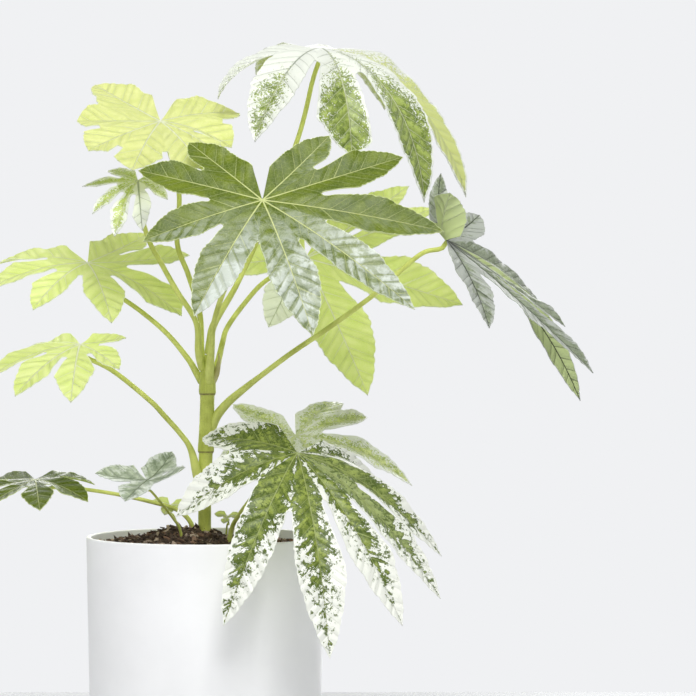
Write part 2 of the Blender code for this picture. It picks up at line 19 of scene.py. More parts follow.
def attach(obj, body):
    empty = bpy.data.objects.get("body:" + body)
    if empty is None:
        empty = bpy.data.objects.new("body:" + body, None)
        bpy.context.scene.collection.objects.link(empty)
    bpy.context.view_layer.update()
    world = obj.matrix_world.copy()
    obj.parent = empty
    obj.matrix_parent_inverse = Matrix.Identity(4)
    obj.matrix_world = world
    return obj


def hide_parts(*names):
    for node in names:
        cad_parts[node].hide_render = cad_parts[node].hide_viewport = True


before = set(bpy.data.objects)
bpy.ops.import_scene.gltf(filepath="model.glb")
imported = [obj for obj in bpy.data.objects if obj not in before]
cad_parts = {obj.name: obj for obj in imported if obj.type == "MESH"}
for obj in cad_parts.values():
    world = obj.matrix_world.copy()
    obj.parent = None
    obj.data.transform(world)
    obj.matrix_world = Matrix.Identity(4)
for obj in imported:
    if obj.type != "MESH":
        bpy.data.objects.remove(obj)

LOG = logging.getLogger("fatsia")
MM = 0.001
UV_UNIT = 0.1
BODY = "root"

# Meshes: how near points are merged, in metres, and the angles up to which faces are smooth
MESH_WELD = 0.000001
LOBE_WELD = 0.00002
SLIVER = 0.000005
CURVE_STEPS = 12
TUBE_ANGLE = 50.0
BLADE_ANGLE = 60.0
POT_ANGLE = 35.0

Colour = tuple[float, float, float]
Point = tuple[float, float, float]
Socket = bpy.types.NodeSocket
Value = Socket | Colour | float


class Finish(Enum):
    """The finishes that a blade can have."""

    PLAIN = "leaf_plain"
    PALE = "leaf_pale"
    MARBLED = "leaf_marbled"
    EDGED = "leaf_edged"
    SILVER = "leaf_silver"


def deselect() -> None:
    """Deselect every object, as a start for the next operator."""
    bpy.ops.object.select_all(action="DESELECT")


def select_only(*objects: bpy.types.Object) -> None:
    """Select objects and make the first the active one.

    Args:
        objects: the objects to select.
    """
    deselect()
    for obj in objects:
        obj.select_set(True)
    bpy.context.view_layer.objects.active = objects[0]


def apply_modifiers(obj: bpy.types.Object) -> None:
    """Apply every modifier of an object in order.

    Args:
        obj: the object.
    """
    select_only(obj)
    for modifier in list(obj.modifiers):
        bpy.ops.object.modifier_apply(modifier=modifier.name)


def settle(obj: bpy.types.Object, slot: str, *nodes: str) -> None:
    """Put a finished piece in the frame: bake its place into its mesh, hang it on its body and hide the
    nodes it stands for.

    Args:
        obj: the finished piece.
        slot: the record's material slot of its finish; not used.
        nodes: the frame's nodes that it stands for.
    """
    select_only(obj)
    bpy.ops.object.transform_apply(location=True, rotation=True, scale=True)
    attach(obj, BODY)
    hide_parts(*nodes)
    LOG.info("%s: %d faces", obj.name, len(obj.data.polygons))


def smooth_path(points: list[Point], count: int) -> np.ndarray:
    """Spread points evenly along a smooth curve through the given ones.

    Args:
        points: the curve's knots in millimetres.
        count: how many points to return.

    Returns:
        An array of places in metres.
    """
    knots = np.array(points, dtype=float) * MM
    padded = np.vstack([2 * knots[0] - knots[1], knots, 2 * knots[-1] - knots[-2]])
    dense = []
    for a, b, c, d in zip(padded, padded[1:], padded[2:], padded[3:]):
        for t in np.linspace(0.0, 1.0, CURVE_STEPS, endpoint=False):
            dense.append(0.5 * (2 * b + (c - a) * t + (2 * a - 5 * b + 4 * c - d) * t ** 2
                                + (3 * b - a - 3 * c + d) * t ** 3))
    dense.append(padded[-2])
    line = np.array(dense)
    lengths = np.concatenate([[0.0], np.cumsum(np.linalg.norm(np.diff(line, axis=0), axis=1))])
    wanted = np.linspace(0.0, lengths[-1], count)
    return np.column_stack([np.interp(wanted, lengths, line[:, axis]) for axis in range(3)])


def tube(name: str, points: np.ndarray, radii: np.ndarray, resolution: int = 4) -> bpy.types.Object:
    """Sweep a round section of changing radius along points.

    Args:
        name: the object's name.
        points: the centre line in metres.
        radii: the radius at each point in metres.
        resolution: how finely the section is rounded.

    Returns:
        The closed mesh object, smooth shaded.
    """
    curve = bpy.data.curves.new(name, "CURVE")
    curve.dimensions = "3D"
    curve.bevel_depth = 1.0
    curve.bevel_resolution = resolution
    curve.use_fill_caps = True
    spline = curve.splines.new("POLY")
    spline.points.add(len(points) - 1)
    for knot, place, radius in zip(spline.points, points, radii):
        knot.co = (*place, 1.0)
        knot.radius = radius
    obj = bpy.data.objects.new(name, curve)
    bpy.context.scene.collection.objects.link(obj)
    select_only(obj)
    bpy.ops.object.convert(target="MESH")
    obj = bpy.context.view_layer.objects.active
    obj.name = name
    merge_and_face_out(obj)
    bpy.ops.object.shade_smooth_by_angle(angle=math.radians(TUBE_ANGLE))
    return obj


def merge_and_face_out(obj: bpy.types.Object) -> None:
    """Merge an object's doubled points and turn its faces outward.

    Args:
        obj: the mesh object.
    """
    select_only(obj)
    bpy.ops.object.mode_set(mode="EDIT")
    bpy.ops.mesh.select_all(action="SELECT")
    bpy.ops.mesh.remove_doubles(threshold=MESH_WELD)
    bpy.ops.mesh.normals_make_consistent(inside=False)
    bpy.ops.object.mode_set(mode="OBJECT")


@dataclass(frozen=True)
class Pattern:
    """A noise, and the two marks between which it rises from 0 to 1."""

    scale: float
    detail: float = 3.0
    roughness: float = 0.55
    distortion: float = 0.0
    low: float = 0.3
    high: float = 0.7


class Sheet:
    """The node sheet of one material, with short calls for the nodes that the finishes use."""

    def __init__(self, name: str) -> None:
        """Start a material with a Principled shader.

        Args:
            name: the material's name.
        """
        self.material = bpy.data.materials.new(name)
        self.material.use_nodes = True
        self.nodes = self.material.node_tree.nodes
        self.links = self.material.node_tree.links
        self.shader = self.nodes["Principled BSDF"]
        self.output = self.nodes["Material Output"]

    def put(self, node: bpy.types.Node, key: str | int, value: Value) -> None:
        """Set an input of a node to a number or colour, or link it where the value is a socket.

        Args:
            node: the node.
            key: the input's name or number.
            value: what the input takes.
        """
        if isinstance(value, Socket):
            self.links.new(value, node.inputs[key])
        else:
            node.inputs[key].default_value = (*value, 1.0) if isinstance(value, tuple) else value

    def add(self, kind: str, values: dict[str | int, Value], out: str | int = 0,
            **settings: str) -> Socket:
        """Add a node.

        Args:
            kind: its type, without the words that all these types start with.
            values: what its inputs take, by name or number.
            out: the wanted output's name or number.
            settings: its own settings.

        Returns:
            The wanted output.
        """
        node = self.nodes.new("ShaderNode" + kind)
        for name, setting in settings.items():
            setattr(node, name, setting)
        for key, value in values.items():
            self.put(node, key, value)
        return node.outputs[out]

    def math(self, operation: str, first: Value, second: Value = 0.0) -> Socket:
        """Work out a value from one or two others."""
        return self.add("Math", {0: first, 1: second}, operation=operation)

    def plus(self, first: Value, second: Value) -> Socket:
        """Return the sum of two values."""
        return self.math("ADD", first, second)

    def times(self, first: Value, second: Value) -> Socket:
        """Return the product of two values."""
        return self.math("MULTIPLY", first, second)

    def most(self, first: Value, second: Value) -> Socket:
        """Return the larger of two values."""
        return self.math("MAXIMUM", first, second)

    def line(self, value: Value, slope: float, start: float) -> Socket:
        """Return slope times a value plus a start."""
        return self.add("Math", {0: value, 1: slope, 2: start}, operation="MULTIPLY_ADD")

    def mix(self, share: Value, first: Value, second: Value) -> Socket:
        """Return a colour between two: the second one where the share is 1."""
        return self.add("Mix", {0: share, 6: first, 7: second}, 2, data_type="RGBA")

    def between(self, value: Value, low: float, high: float) -> Socket:
        """Return 0 where a value is at the low mark, 1 at the high mark, smooth between."""
        return self.add("MapRange", {0: value, 1: low, 2: high}, interpolation_type="SMOOTHSTEP")

    def noise(self, place: Value, look: Pattern) -> Socket:
        """Return a pattern's bare noise, about 0.5 on average, at a place."""
        return self.add("TexNoise", {"Vector": place, "Scale": look.scale, "Detail": look.detail,
                                     "Roughness": look.roughness, "Distortion": look.distortion}, "Fac")

    def pattern(self, place: Value, look: Pattern) -> Socket:
        """Return a pattern at a place: its noise, faded between its marks."""
        return self.between(self.noise(place, look), look.low, look.high)

    def cells(self, place: Value, scale: float, feature: str = "DISTANCE_TO_EDGE") -> Socket:
        """Return the distance to the nearest cell's border, or centre, at a place."""
        return self.add("TexVoronoi", {"Vector": place, "Scale": scale}, "Distance", feature=feature)

    def joined(self, x: Value, y: Value, z: Value) -> Socket:
        """Return a vector of three values."""
        return self.add("CombineXYZ", {0: x, 1: y, 2: z})

    def split(self, vector: Value) -> tuple[Socket, ...]:
        """Return the three values of a vector."""
        return tuple(self.add("SeparateXYZ", {0: vector}).node.outputs)

    def attribute(self, name: str) -> Socket:
        """Return the value of a named attribute of the mesh."""
        return self.add("Attribute", {}, "Fac", attribute_name=name)

    def place(self) -> Socket:
        """Return the place on the piece in its own coordinates."""
        return self.add("TexCoord", {}, "Object")

    def bump(self, height: Value, distance: float, strength: float = 1.0) -> None:
        """Give the shader a relief from a height between 0 and 1."""
        values = {"Height": height, "Distance": distance, "Strength": strength}
        self.put(self.shader, "Normal", self.add("Bump", values))

    def glow(self, share: float, colour: Value) -> None:
        """Let a share of the light pass through, as through a thin leaf.

        Args:
            share: how much of the surface's light comes through it.
            colour: the colour that the passing light takes.
        """
        through = self.add("BsdfTranslucent", {"Color": colour})
        shaders = {0: share, 1: self.shader.outputs[0], 2: through}
        self.put(self.output, "Surface", self.add("MixShader", shaders))


# The blades' patterns lie on the lobe's own map, in turns a metre
CLOUDS = Pattern(45.0, 4.0, 0.6, 0.4)
GRAIN = Pattern(900.0, 3.0, 0.65)
FLECKS = Pattern(150.0, 5.0, 0.75, 0.4, low=0.47, high=0.55)
PAINTED_SHEEN_NOISE = Pattern(85.0, 6.0, 0.7, 0.6, low=0.33, high=0.60)
# The next two shape the whitish sheen painted on the main leaf's lower lobes
PAINTED_SHEEN_DRIFT = Pattern(55.0, 2.0)
PATCHES = Pattern(100.0, 6.0, 0.7, 0.5)
STREAKS = Pattern(80.0, 4.0, 0.65, 0.3)
STIPPLE = Pattern(620.0, 2.5, 0.65)
SPECKS = Pattern(260.0, 3.0, 0.7, low=0.53, high=0.55)
SPECK_FIELDS = Pattern(70.0, 2.0, low=0.40, high=0.5)
RIM = Pattern(260.0, 2.0)
UNDER_CLOUDS = Pattern(60.0, 4.0, 0.6)

# Offsets that keep the patterns of the lobes and of their two sides apart
LOBE_SHIFT = 7.31
SIDE_SHIFT = 3.7
SLANT_PITCH = 0.045

# Veins: the side veins' slant and spacing, the widths at the start and what is lost to the end,
# where a vein is full, as a share of its width, and where side veins and swellings begin and end
VEIN_SLANT = 1.0
VEIN_PITCH = 0.0125
VEIN_GAP = 0.75 * VEIN_PITCH
RIB_WIDTH, RIB_LOSS = 0.00085, 0.00060
TWIG_WIDTH, TWIG_LOSS = 0.00042, 0.00026
RIB_CORE, TWIG_CORE = 0.45, 0.3
TWIG_START = (0.012, 0.03)
SWELL_TOP = 0.9
MESH_SCALE, MESH_WIDTH = 300.0, 0.10

# Marbling: how far a noise moves the cream's border, and the reach of what lies beside it
FRAY = 3.0
BESIDE_CREAM = (-0.5, -0.1)
SPECK_REACH = (1.0, 0.4)
RIM_LEAST, RIM_SWING, RIM_BLUR = 0.2, 1.6, 0.15

# Painted sheen: a whitish sheen painted into the blades' colour; it closes up as it gets stronger, and is
# even near the hub and striped further out
PAINTED_SHEEN_CLOSING = (1.6, -1.0)
PAINTED_SHEEN_STRIPE, PAINTED_SHEEN_STRIPE_EDGE, PAINTED_SHEEN_WANDER = 0.75, 0.6, 2.0
PAINTED_SHEEN_EVEN = (0.62, 0.30)

# Shares of the clouds, grain and mesh in the green, and of each layer in the relief: midrib, side
# veins, swelling, mesh, clouds and grain
CLOUD_SHARE, GRAIN_SHARE, MESH_SHARE = 0.55, 0.35, 0.12
RELIEF_SHARES = (0.8, -0.35, 0.55, 0.16, 0.3, 0.05)
DULL_SWING = 0.12
COAT_ROUGHNESS = 0.20

# The underside
UNDER_CLOUD_SHARE, UNDER_CREAM_SHARE, UNDER_VEIN_SHARE, UNDER_SWELL_SHARE = 0.25, 0.8, 0.5, 0.4
UNDER_VEIN = (0.74, 0.80, 0.52)
UNDER_ROUGHNESS, UNDER_RELIEF = 0.62, 0.0008


@dataclass(frozen=True)
class LeafLook:
    """The finish of a blade: its greens, veins, marbling, painted sheen, gloss and the light it passes.

    Cream starts at a share of the way from midrib to margin: cream_from at the hub, and cream_rise
    further out past the stretch cream_span of the lobe. Patches, streaks along the side veins and a
    stipple fray its border.

    Attributes:
        deep: the darkest green; fresh is the lightest.
        vein: the veins on green; cream_vein is theirs on cream.
        cream: the marbling and the rim.
        under: the underside, and the green of a pale lobe.
        painted_sheen: the colour of the whitish sheen painted on lobes that carry one.
        lines: how clear the veins are; ribs widens them, and twigs is the side veins' share.
        painted_vein_shade: how far the green darkens beside the side veins, a painted shade of their sunken
            grooves.
        cream_blur: how softly the cream starts.
        margin: the rim's width in millimetres.
        grain: how fine the stipple is.
        specks: how green the islands in the cream are.
        tones: how far fresh flecks show in the green.
        rimmed: how far the green darkens beside the cream.
        glow: the share of the light that passes through.
        relief: the relief's height in metres.
    """

    deep: Colour
    fresh: Colour
    vein: Colour
    cream: Colour
    under: Colour
    cream_vein: Colour = (0.62, 0.68, 0.48)
    # The colour of the whitish sheen painted on lobes that carry one
    painted_sheen: Colour = (0.66, 0.71, 0.65)
    lines: float = 0.85
    ribs: float = 1.0
    twigs: float = 0.62
    painted_vein_shade: float = 0.0
    cream_from: float = 2.0
    cream_rise: float = 0.0
    cream_span: tuple[float, float] = (0.16, 0.52)
    cream_blur: float = 0.02
    margin: float = 0.35
    patch: float = 0.5
    streak: float = 0.0
    stipple: float = 0.0
    grain: float = 620.0
    specks: float = 0.0
    tones: float = 0.0
    rimmed: float = 0.0
    glow: float = 0.25
    roughness: float = 0.38
    shine: float = 0.5
    coat: float = 0.0
    relief: float = 0.0008

    def coordinates(self, sheet: Sheet) -> dict[str, Socket]:
        """Read where a point is on its lobe.

        Args:
            sheet: the material's node sheet.

        Returns:
            The sockets by name: s, the distance along in metres, away, the distance from the
            midrib, along and across as shares, flat, a vector for noises, step, which grows by one
            from side vein to side vein, and slant, a vector whose noise runs along the side veins.
        """
        lobe_map = sheet.nodes.new("ShaderNodeUVMap")
        lobe_map.uv_map = "lobe"
        u, v, _ = sheet.split(lobe_map.outputs[0])
        s, w = sheet.times(u, UV_UNIT), sheet.times(v, UV_UNIT)
        away = sheet.math("ABSOLUTE", w)
        turn = sheet.times(sheet.attribute("turn"), LOBE_SHIFT)
        side = sheet.math("GREATER_THAN", w, 0.0)
        step = sheet.plus(sheet.attribute("step"), sheet.times(side, 0.5))
        slant = sheet.joined(sheet.times(step, SLANT_PITCH), away,
                             sheet.plus(turn, sheet.times(side, SIDE_SHIFT)))
        return {"s": s, "away": away, "along": sheet.attribute("along"),
                "across": sheet.attribute("across"), "flat": sheet.joined(s, w, turn),
                "step": step, "slant": slant}

    def veins(self, sheet: Sheet, at: dict[str, Socket]) -> tuple[Socket, ...]:
        """Draw the midrib, the side veins and the swelling between these.

        Args:
            sheet: the material's node sheet.
            at: the sockets of coordinates().

        Returns:
            Three sockets: the midrib's and the side veins' masks and the swelling's height.
        """
        wide = sheet.line(at["along"], -RIB_LOSS * self.ribs, RIB_WIDTH * self.ribs)
        rib = sheet.between(sheet.math("DIVIDE", at["away"], wide), 1.0, RIB_CORE)
        part = sheet.math("FRACT", at["step"])
        near = sheet.times(sheet.math("MINIMUM", part, sheet.line(part, -1.0, 1.0)), VEIN_GAP)
        wide = sheet.line(at["across"], -TWIG_LOSS * self.ribs, TWIG_WIDTH * self.ribs)
        side = sheet.between(sheet.math("DIVIDE", near, wide), 1.0, TWIG_CORE)
        side = sheet.times(side, sheet.between(at["s"], *TWIG_START))
        swell = sheet.line(sheet.math("PINGPONG", at["step"], 0.5), 2.0, 0.0)
        return rib, side, sheet.between(swell, 0.0, SWELL_TOP)

    def marbling(self, sheet: Sheet, at: dict[str, Socket]) -> tuple[Socket, Socket]:
        """Spread the cream over the green, with a frayed border.

        Args:
            sheet: the material's node sheet.
            at: the sockets of coordinates().

        Returns:
            Two sockets: the cream's share, and where the green darkens beside it.
        """
        start = sheet.line(sheet.between(at["along"], *self.cream_span), self.cream_rise,
                           self.cream_from)
        start = sheet.plus(start, sheet.attribute("cream"))
        depth = sheet.math("SUBTRACT", at["across"], start)
        stipple = replace(STIPPLE, scale=self.grain)
        for place, look, share in (("flat", PATCHES, self.patch), ("slant", STREAKS, self.streak),
                                   ("flat", stipple, self.stipple)):
            if share:
                value = sheet.noise(at[place], look)
                depth = sheet.plus(depth, sheet.line(value, FRAY * share, -0.5 * FRAY * share))
        cream = sheet.between(depth, -self.cream_blur, self.cream_blur)
        beside = sheet.between(depth, *BESIDE_CREAM)
        if self.specks:
            spots = sheet.times(sheet.pattern(at["flat"], SPECKS), sheet.between(depth, *SPECK_REACH))
            spots = sheet.times(spots, sheet.pattern(at["flat"], SPECK_FIELDS))
            cream = sheet.times(cream, sheet.line(spots, -self.specks, 1.0))
            beside = sheet.most(beside, spots)
        margin = sheet.line(sheet.noise(at["flat"], RIM), RIM_SWING * self.margin,
                            RIM_LEAST * self.margin)
        rim = sheet.math("SUBTRACT", sheet.attribute("edge"), margin)
        return sheet.most(cream, sheet.between(rim, RIM_BLUR, -RIM_BLUR)), beside

    def painted_sheen_share(self, sheet: Sheet, at: dict[str, Socket], swell: Socket) -> Socket:
        """Work out where a whitish sheen is painted into the colour of lobes that carry one, brighter on
        the swellings further out.

        Args:
            sheet: the material's node sheet.
            at: the sockets of coordinates().
            swell: the swelling's height.

        Returns:
            The share of the painted sheen.
        """
        painted_sheen = sheet.attribute("painted_sheen")
        strong = sheet.line(painted_sheen, *PAINTED_SHEEN_CLOSING)
        sheen_patches = sheet.times(sheet.most(sheet.pattern(at["flat"], PAINTED_SHEEN_NOISE), strong), painted_sheen)
        drift = sheet.line(sheet.noise(at["flat"], PAINTED_SHEEN_DRIFT), PAINTED_SHEEN_WANDER, -0.5 * PAINTED_SHEEN_WANDER)
        stripes = sheet.between(sheet.plus(swell, drift), 0.0, PAINTED_SHEEN_STRIPE_EDGE)
        stripes = sheet.line(stripes, PAINTED_SHEEN_STRIPE, 1.0 - PAINTED_SHEEN_STRIPE)
        stripes = sheet.most(stripes, sheet.between(at["along"], *PAINTED_SHEEN_EVEN))
        return sheet.times(sheen_patches, sheet.most(stripes, strong))

    def top(self, name: str) -> bpy.types.Material:
        """Make the material of the blade's upper face.

        Args:
            name: the material's name.

        Returns:
            The material.
        """
        sheet = Sheet(name)
        at = self.coordinates(sheet)
        rib, side, swell = self.veins(sheet, at)
        cloud, grain = sheet.pattern(at["flat"], CLOUDS), sheet.pattern(at["flat"], GRAIN)
        mesh = sheet.between(sheet.cells(at["flat"], MESH_SCALE), 0.0, MESH_WIDTH)
        green = sheet.mix(sheet.times(cloud, CLOUD_SHARE), self.deep, self.fresh)
        if self.tones:
            flecks = sheet.times(sheet.pattern(at["flat"], FLECKS), self.tones)
            green = sheet.mix(flecks, green, self.fresh)
        green = sheet.mix(sheet.times(grain, GRAIN_SHARE), green, self.fresh)
        # Painted shade: the green is darkened towards the deep green along the sunken side veins
        green = sheet.mix(sheet.line(swell, -self.painted_vein_shade, self.painted_vein_shade), green, self.deep)
        green = sheet.mix(sheet.line(mesh, -MESH_SHARE, MESH_SHARE), green, self.vein)
        green = sheet.mix(sheet.attribute("pale"), green, self.under)
        cream, beside = self.marbling(sheet, at)
        green = sheet.mix(sheet.times(beside, self.rimmed), green, self.deep)
        face = sheet.mix(cream, green, self.cream)
        # Painted sheen: a whitish reflection painted into the colour of the lobes that carry one
        face = sheet.mix(self.painted_sheen_share(sheet, at, swell), face, self.painted_sheen)
        lines = sheet.most(rib, sheet.times(side, self.twigs))
        tint = sheet.mix(cream, self.vein, self.cream_vein)
        face = sheet.mix(sheet.times(lines, self.lines), face, tint)
        dull = sheet.line(grain, DULL_SWING, self.roughness - 0.5 * DULL_SWING)
        sheet.put(sheet.shader, "Base Color", face)
        sheet.put(sheet.shader, "Roughness", sheet.plus(dull, sheet.attribute("dull")))
        sheet.shader.inputs["Specular IOR Level"].default_value = self.shine
        sheet.shader.inputs["Coat Weight"].default_value = self.coat
        sheet.shader.inputs["Coat Roughness"].default_value = COAT_ROUGHNESS
        height = 0.0
        for value, share in zip((rib, side, swell, mesh, cloud, grain), RELIEF_SHARES):
            height = sheet.plus(height, sheet.times(value, share))
        sheet.bump(height, self.relief)
        sheet.glow(self.glow, face)
        return sheet.material

    def bottom(self, name: str) -> bpy.types.Material:
        """Make the material of the blade's paler, duller underside with its raised veins.

        Args:
            name: the material's name.

        Returns:
            The material.
        """
        sheet = Sheet(name)
        at = self.coordinates(sheet)
        rib, side, swell = self.veins(sheet, at)
        cloud = sheet.times(sheet.pattern(at["flat"], UNDER_CLOUDS), UNDER_CLOUD_SHARE)
        cream, _ = self.marbling(sheet, at)
        face = sheet.mix(sheet.times(cream, UNDER_CREAM_SHARE),
                         sheet.mix(cloud, self.under, self.fresh), self.cream)
        lines = sheet.most(rib, side)
        face = sheet.mix(sheet.times(lines, UNDER_VEIN_SHARE), face, UNDER_VEIN)
        sheet.put(sheet.shader, "Base Color", face)
        sheet.put(sheet.shader, "Roughness", UNDER_ROUGHNESS)
        height = sheet.math("SUBTRACT", lines, sheet.times(swell, UNDER_SWELL_SHARE))
        sheet.bump(height, UNDER_RELIEF)
        sheet.glow(self.glow, face)
        return sheet.material


LOOKS = {
    Finish.PLAIN: LeafLook(
        deep=(0.052, 0.092, 0.001), fresh=(0.200, 0.260, 0.002), vein=(0.66, 0.71, 0.30),
        cream=(0.55, 0.62, 0.28), under=(0.36, 0.47, 0.05), margin=0.45, glow=0.12, roughness=0.30,
        shine=0.35, ribs=1.15, twigs=0.42, painted_vein_shade=0.35, relief=0.0004),
    Finish.PALE: LeafLook(
        deep=(0.72, 0.82, 0.26), fresh=(0.97, 0.985, 0.64), vein=(0.98, 0.99, 0.86),
        cream=(0.86, 0.89, 0.78), under=(0.78, 0.85, 0.40), lines=1.0, ribs=1.5, painted_vein_shade=0.5,
        glow=0.5, roughness=0.42, relief=0.0014),
    # The top leaf keeps this cream that covers the lobes near the hub and gives way further out: partly
    # cream variegation, partly a painted sheen on its upturned faces
    Finish.MARBLED: LeafLook(
        deep=(0.072, 0.118, 0.004), fresh=(0.42, 0.50, 0.09), vein=(0.74, 0.78, 0.52),
        cream=(0.84, 0.86, 0.80), under=(0.70, 0.75, 0.30), cream_vein=(0.30, 0.34, 0.25),
        cream_from=-0.5, cream_rise=1.3, cream_span=(0.22, 0.72), cream_blur=0.18, margin=2.0,
        patch=0.7, stipple=1.3, grain=560.0, tones=0.75, rimmed=0.3, glow=0.3, roughness=0.36,
        coat=0.3, ribs=1.6, painted_vein_shade=0.5),
    Finish.EDGED: LeafLook(
        deep=(0.058, 0.104, 0.003), fresh=(0.48, 0.57, 0.11), vein=(0.54, 0.62, 0.22),
        cream=(0.92, 0.93, 0.86), under=(0.42, 0.49, 0.22), cream_vein=(0.70, 0.73, 0.60),
        cream_from=1.2, cream_rise=-1.2, cream_span=(0.2, 0.95), cream_blur=0.03, margin=0.8,
        patch=0.9, streak=0.75, stipple=0.45, grain=300.0, specks=1.0, tones=0.5, rimmed=0.8, glow=0.2,
        roughness=0.38, coat=0.1, relief=0.0009, ribs=0.8, painted_vein_shade=0.6),
    Finish.SILVER: LeafLook(
        deep=(0.15, 0.19, 0.10), fresh=(0.40, 0.45, 0.32), vein=(0.040, 0.055, 0.020),
        cream=(0.50, 0.53, 0.47), under=(0.56, 0.65, 0.29), cream_vein=(0.08, 0.10, 0.06),
        lines=1.0, ribs=1.6, cream_from=0.45, cream_blur=0.25, margin=0.5, patch=0.9, streak=0.9,
        tones=0.6, glow=0.25, roughness=0.34, coat=0.3, relief=0.0012),
}

# A blade's shape: the steps of its midribs, how much of a quarter ellipse a droop uses, how late a
# twist sets in, the wider outer necks, how alike its lobes are in breadth, where they are widest, how
# full their tips are, the slots between neighbours in metres and where the lobes' blend ends
MIDRIB_STEPS = 129
ELLIPSE_END = 0.985
TWIST_EASE = 1.5
OUTER_NECK = 1.15
EVENNESS = 0.55
WIDEST = 0.42
TIP_ROUNDING = 0.75
SLOT_HALF = 0.0026
SLOT_OPENING = 14.0
BLEND_END = 1.9

# The saw edge: coarse teeth with finer ones on them, as shares of a lobe and of its breadth
TEETH_FROM, TEETH_SPAN = 0.24, 0.69
TEETH_START, TEETH_END = 0.20, 0.97
TEETH_EASE_IN, TEETH_EASE_OUT = 0.06, 0.05
TOOTH_CREST, FINE_CREST = 0.78, 0.75
TOOTH_SHARE, FINE_SHARE = 0.5, 0.4
FINE_TEETH = 3.0
TOOTH_SIZE, TOOTH_FADE = 0.17, 0.5

# The surface in metres: where the quilting is full beside the midrib and begins at the hub, the waves
# that make the side veins uneven, as size, radians a metre and shift a lobe, and the margin's waves
QUILT_EDGE = 0.005
QUILT_START, QUILT_RISE = 0.015, 0.025
VEIN_WAVES = ((0.0018, 230.0, 1.7), (0.0006, 590.0, 1.0))
SHORT_WAVE, LONG_WAVE = 0.0052, 0.0113
WAVE_SHIFT, LONG_SHARE = 2.1, 0.6
RUFFLE_END = 1.2

# The blades' grids: how far columns crowd to the midrib and rows to the tip, what is added to the
# rim's distance at the hub in metres, and where along a lobe its painted sheen starts and how fast it rises
COLUMN_CROWDING = 1.25
ROW_CROWDING = 0.25
HUB_RIM = 0.02
PAINTED_SHEEN_START, PAINTED_SHEEN_RISE = 0.04, 0.56

# Stalks: knots below the hub and the slim radius in millimetres, and the profile: a share of the
# way, with its shares of the base's radius and of the slim one
STALK_BEND_DROP, STALK_END_DROP = 9.0, 0.4
STALK_STEPS = 72
STALK_SLIM, STALK_SLIM_SHARE = 2.5, 0.75
STALK_PROFILE = ((0.0, 0.97, 0.0), (0.06, 1.0, 0.0), (0.13, 0.86, 0.0), (0.25, 0.0, 1.0),
                 (0.94, 0.0, 0.85), (0.985, 0.0, 0.9), (1.0, 0.0, 0.5))


def eased(value: np.ndarray, start: float, rise: float) -> np.ndarray:
    """Return 0 up to a start, then a straight rise to 1."""
    return np.clip((value - start) / rise, 0.0, 1.0)


class Lobe:
    """One lobe's midrib: it starts in the leaf's plane and droops in a smooth arch."""

    def __init__(self, spec: tuple[float, ...], normal: np.ndarray, arch: float) -> None:
        """Work out the lobe's direction, reach, droop and length.

        Args:
            spec: the tip's offset from the hub in millimetres and, if given, a twist in degrees, a
                breadth over the usual one and an arch.
            normal: the leaf's upward direction at its hub.
            arch: how far the droop goes from a parabola, 0, to a quarter ellipse, 1, if not in spec.
        """
        tip = np.array(spec[:3], dtype=float) * MM
        self.twist = math.radians(spec[3]) if len(spec) > 3 else 0.0
        self.breadth = spec[4] if len(spec) > 4 else 1.0
        arch = spec[5] if len(spec) > 5 else arch
        self.normal = normal
        self.drop = -float(tip @ normal)
        flat = tip + self.drop * normal
        self.reach = float(np.linalg.norm(flat))
        self.along = flat / self.reach
        self.side = np.cross(normal, self.along)
        steps = np.linspace(0.0, 1.0, MIDRIB_STEPS)
        self.out = self.reach * steps
        ellipse = 1.0 - np.sqrt(1.0 - (ELLIPSE_END * steps) ** 2)
        self.down = self.drop * ((1.0 - arch) * steps ** 2 + arch * ellipse / ellipse[-1])
        self.slope = np.gradient(self.down, self.out)
        strides = np.hypot(np.diff(self.out), np.diff(self.down))
        self.lengths = np.concatenate([[0.0], np.cumsum(strides)])
        self.length = float(self.lengths[-1])

    def reach_at(self, s: np.ndarray) -> np.ndarray:
        """Return how far from the hub's axis the midrib is at distances along it."""
        return np.interp(s, self.lengths, self.out)

    def points(self, s: np.ndarray, w: np.ndarray, lift: np.ndarray) -> np.ndarray:
        """Place points by their distance along the midrib, to its side and over the surface.

        Args:
            s: distances along the midrib.
            w: distances to its side.
            lift: heights over the surface.

        Returns:
            The places as offsets from the hub.
        """
        out, down, slope = (np.interp(s, self.lengths, values)[:, None]
                            for values in (self.out, self.down, self.slope))
        upright = (self.along * slope + self.normal) / np.hypot(1.0, slope)
        turn = self.twist * np.clip(s / self.length, 0.0, 1.0)[:, None] ** TWIST_EASE
        sideways = self.side * np.cos(turn) + upright * np.sin(turn)
        upright = upright * np.cos(turn) - self.side * np.sin(turn)
        return self.along * out - self.normal * down + sideways * w[:, None] + upright * lift[:, None]


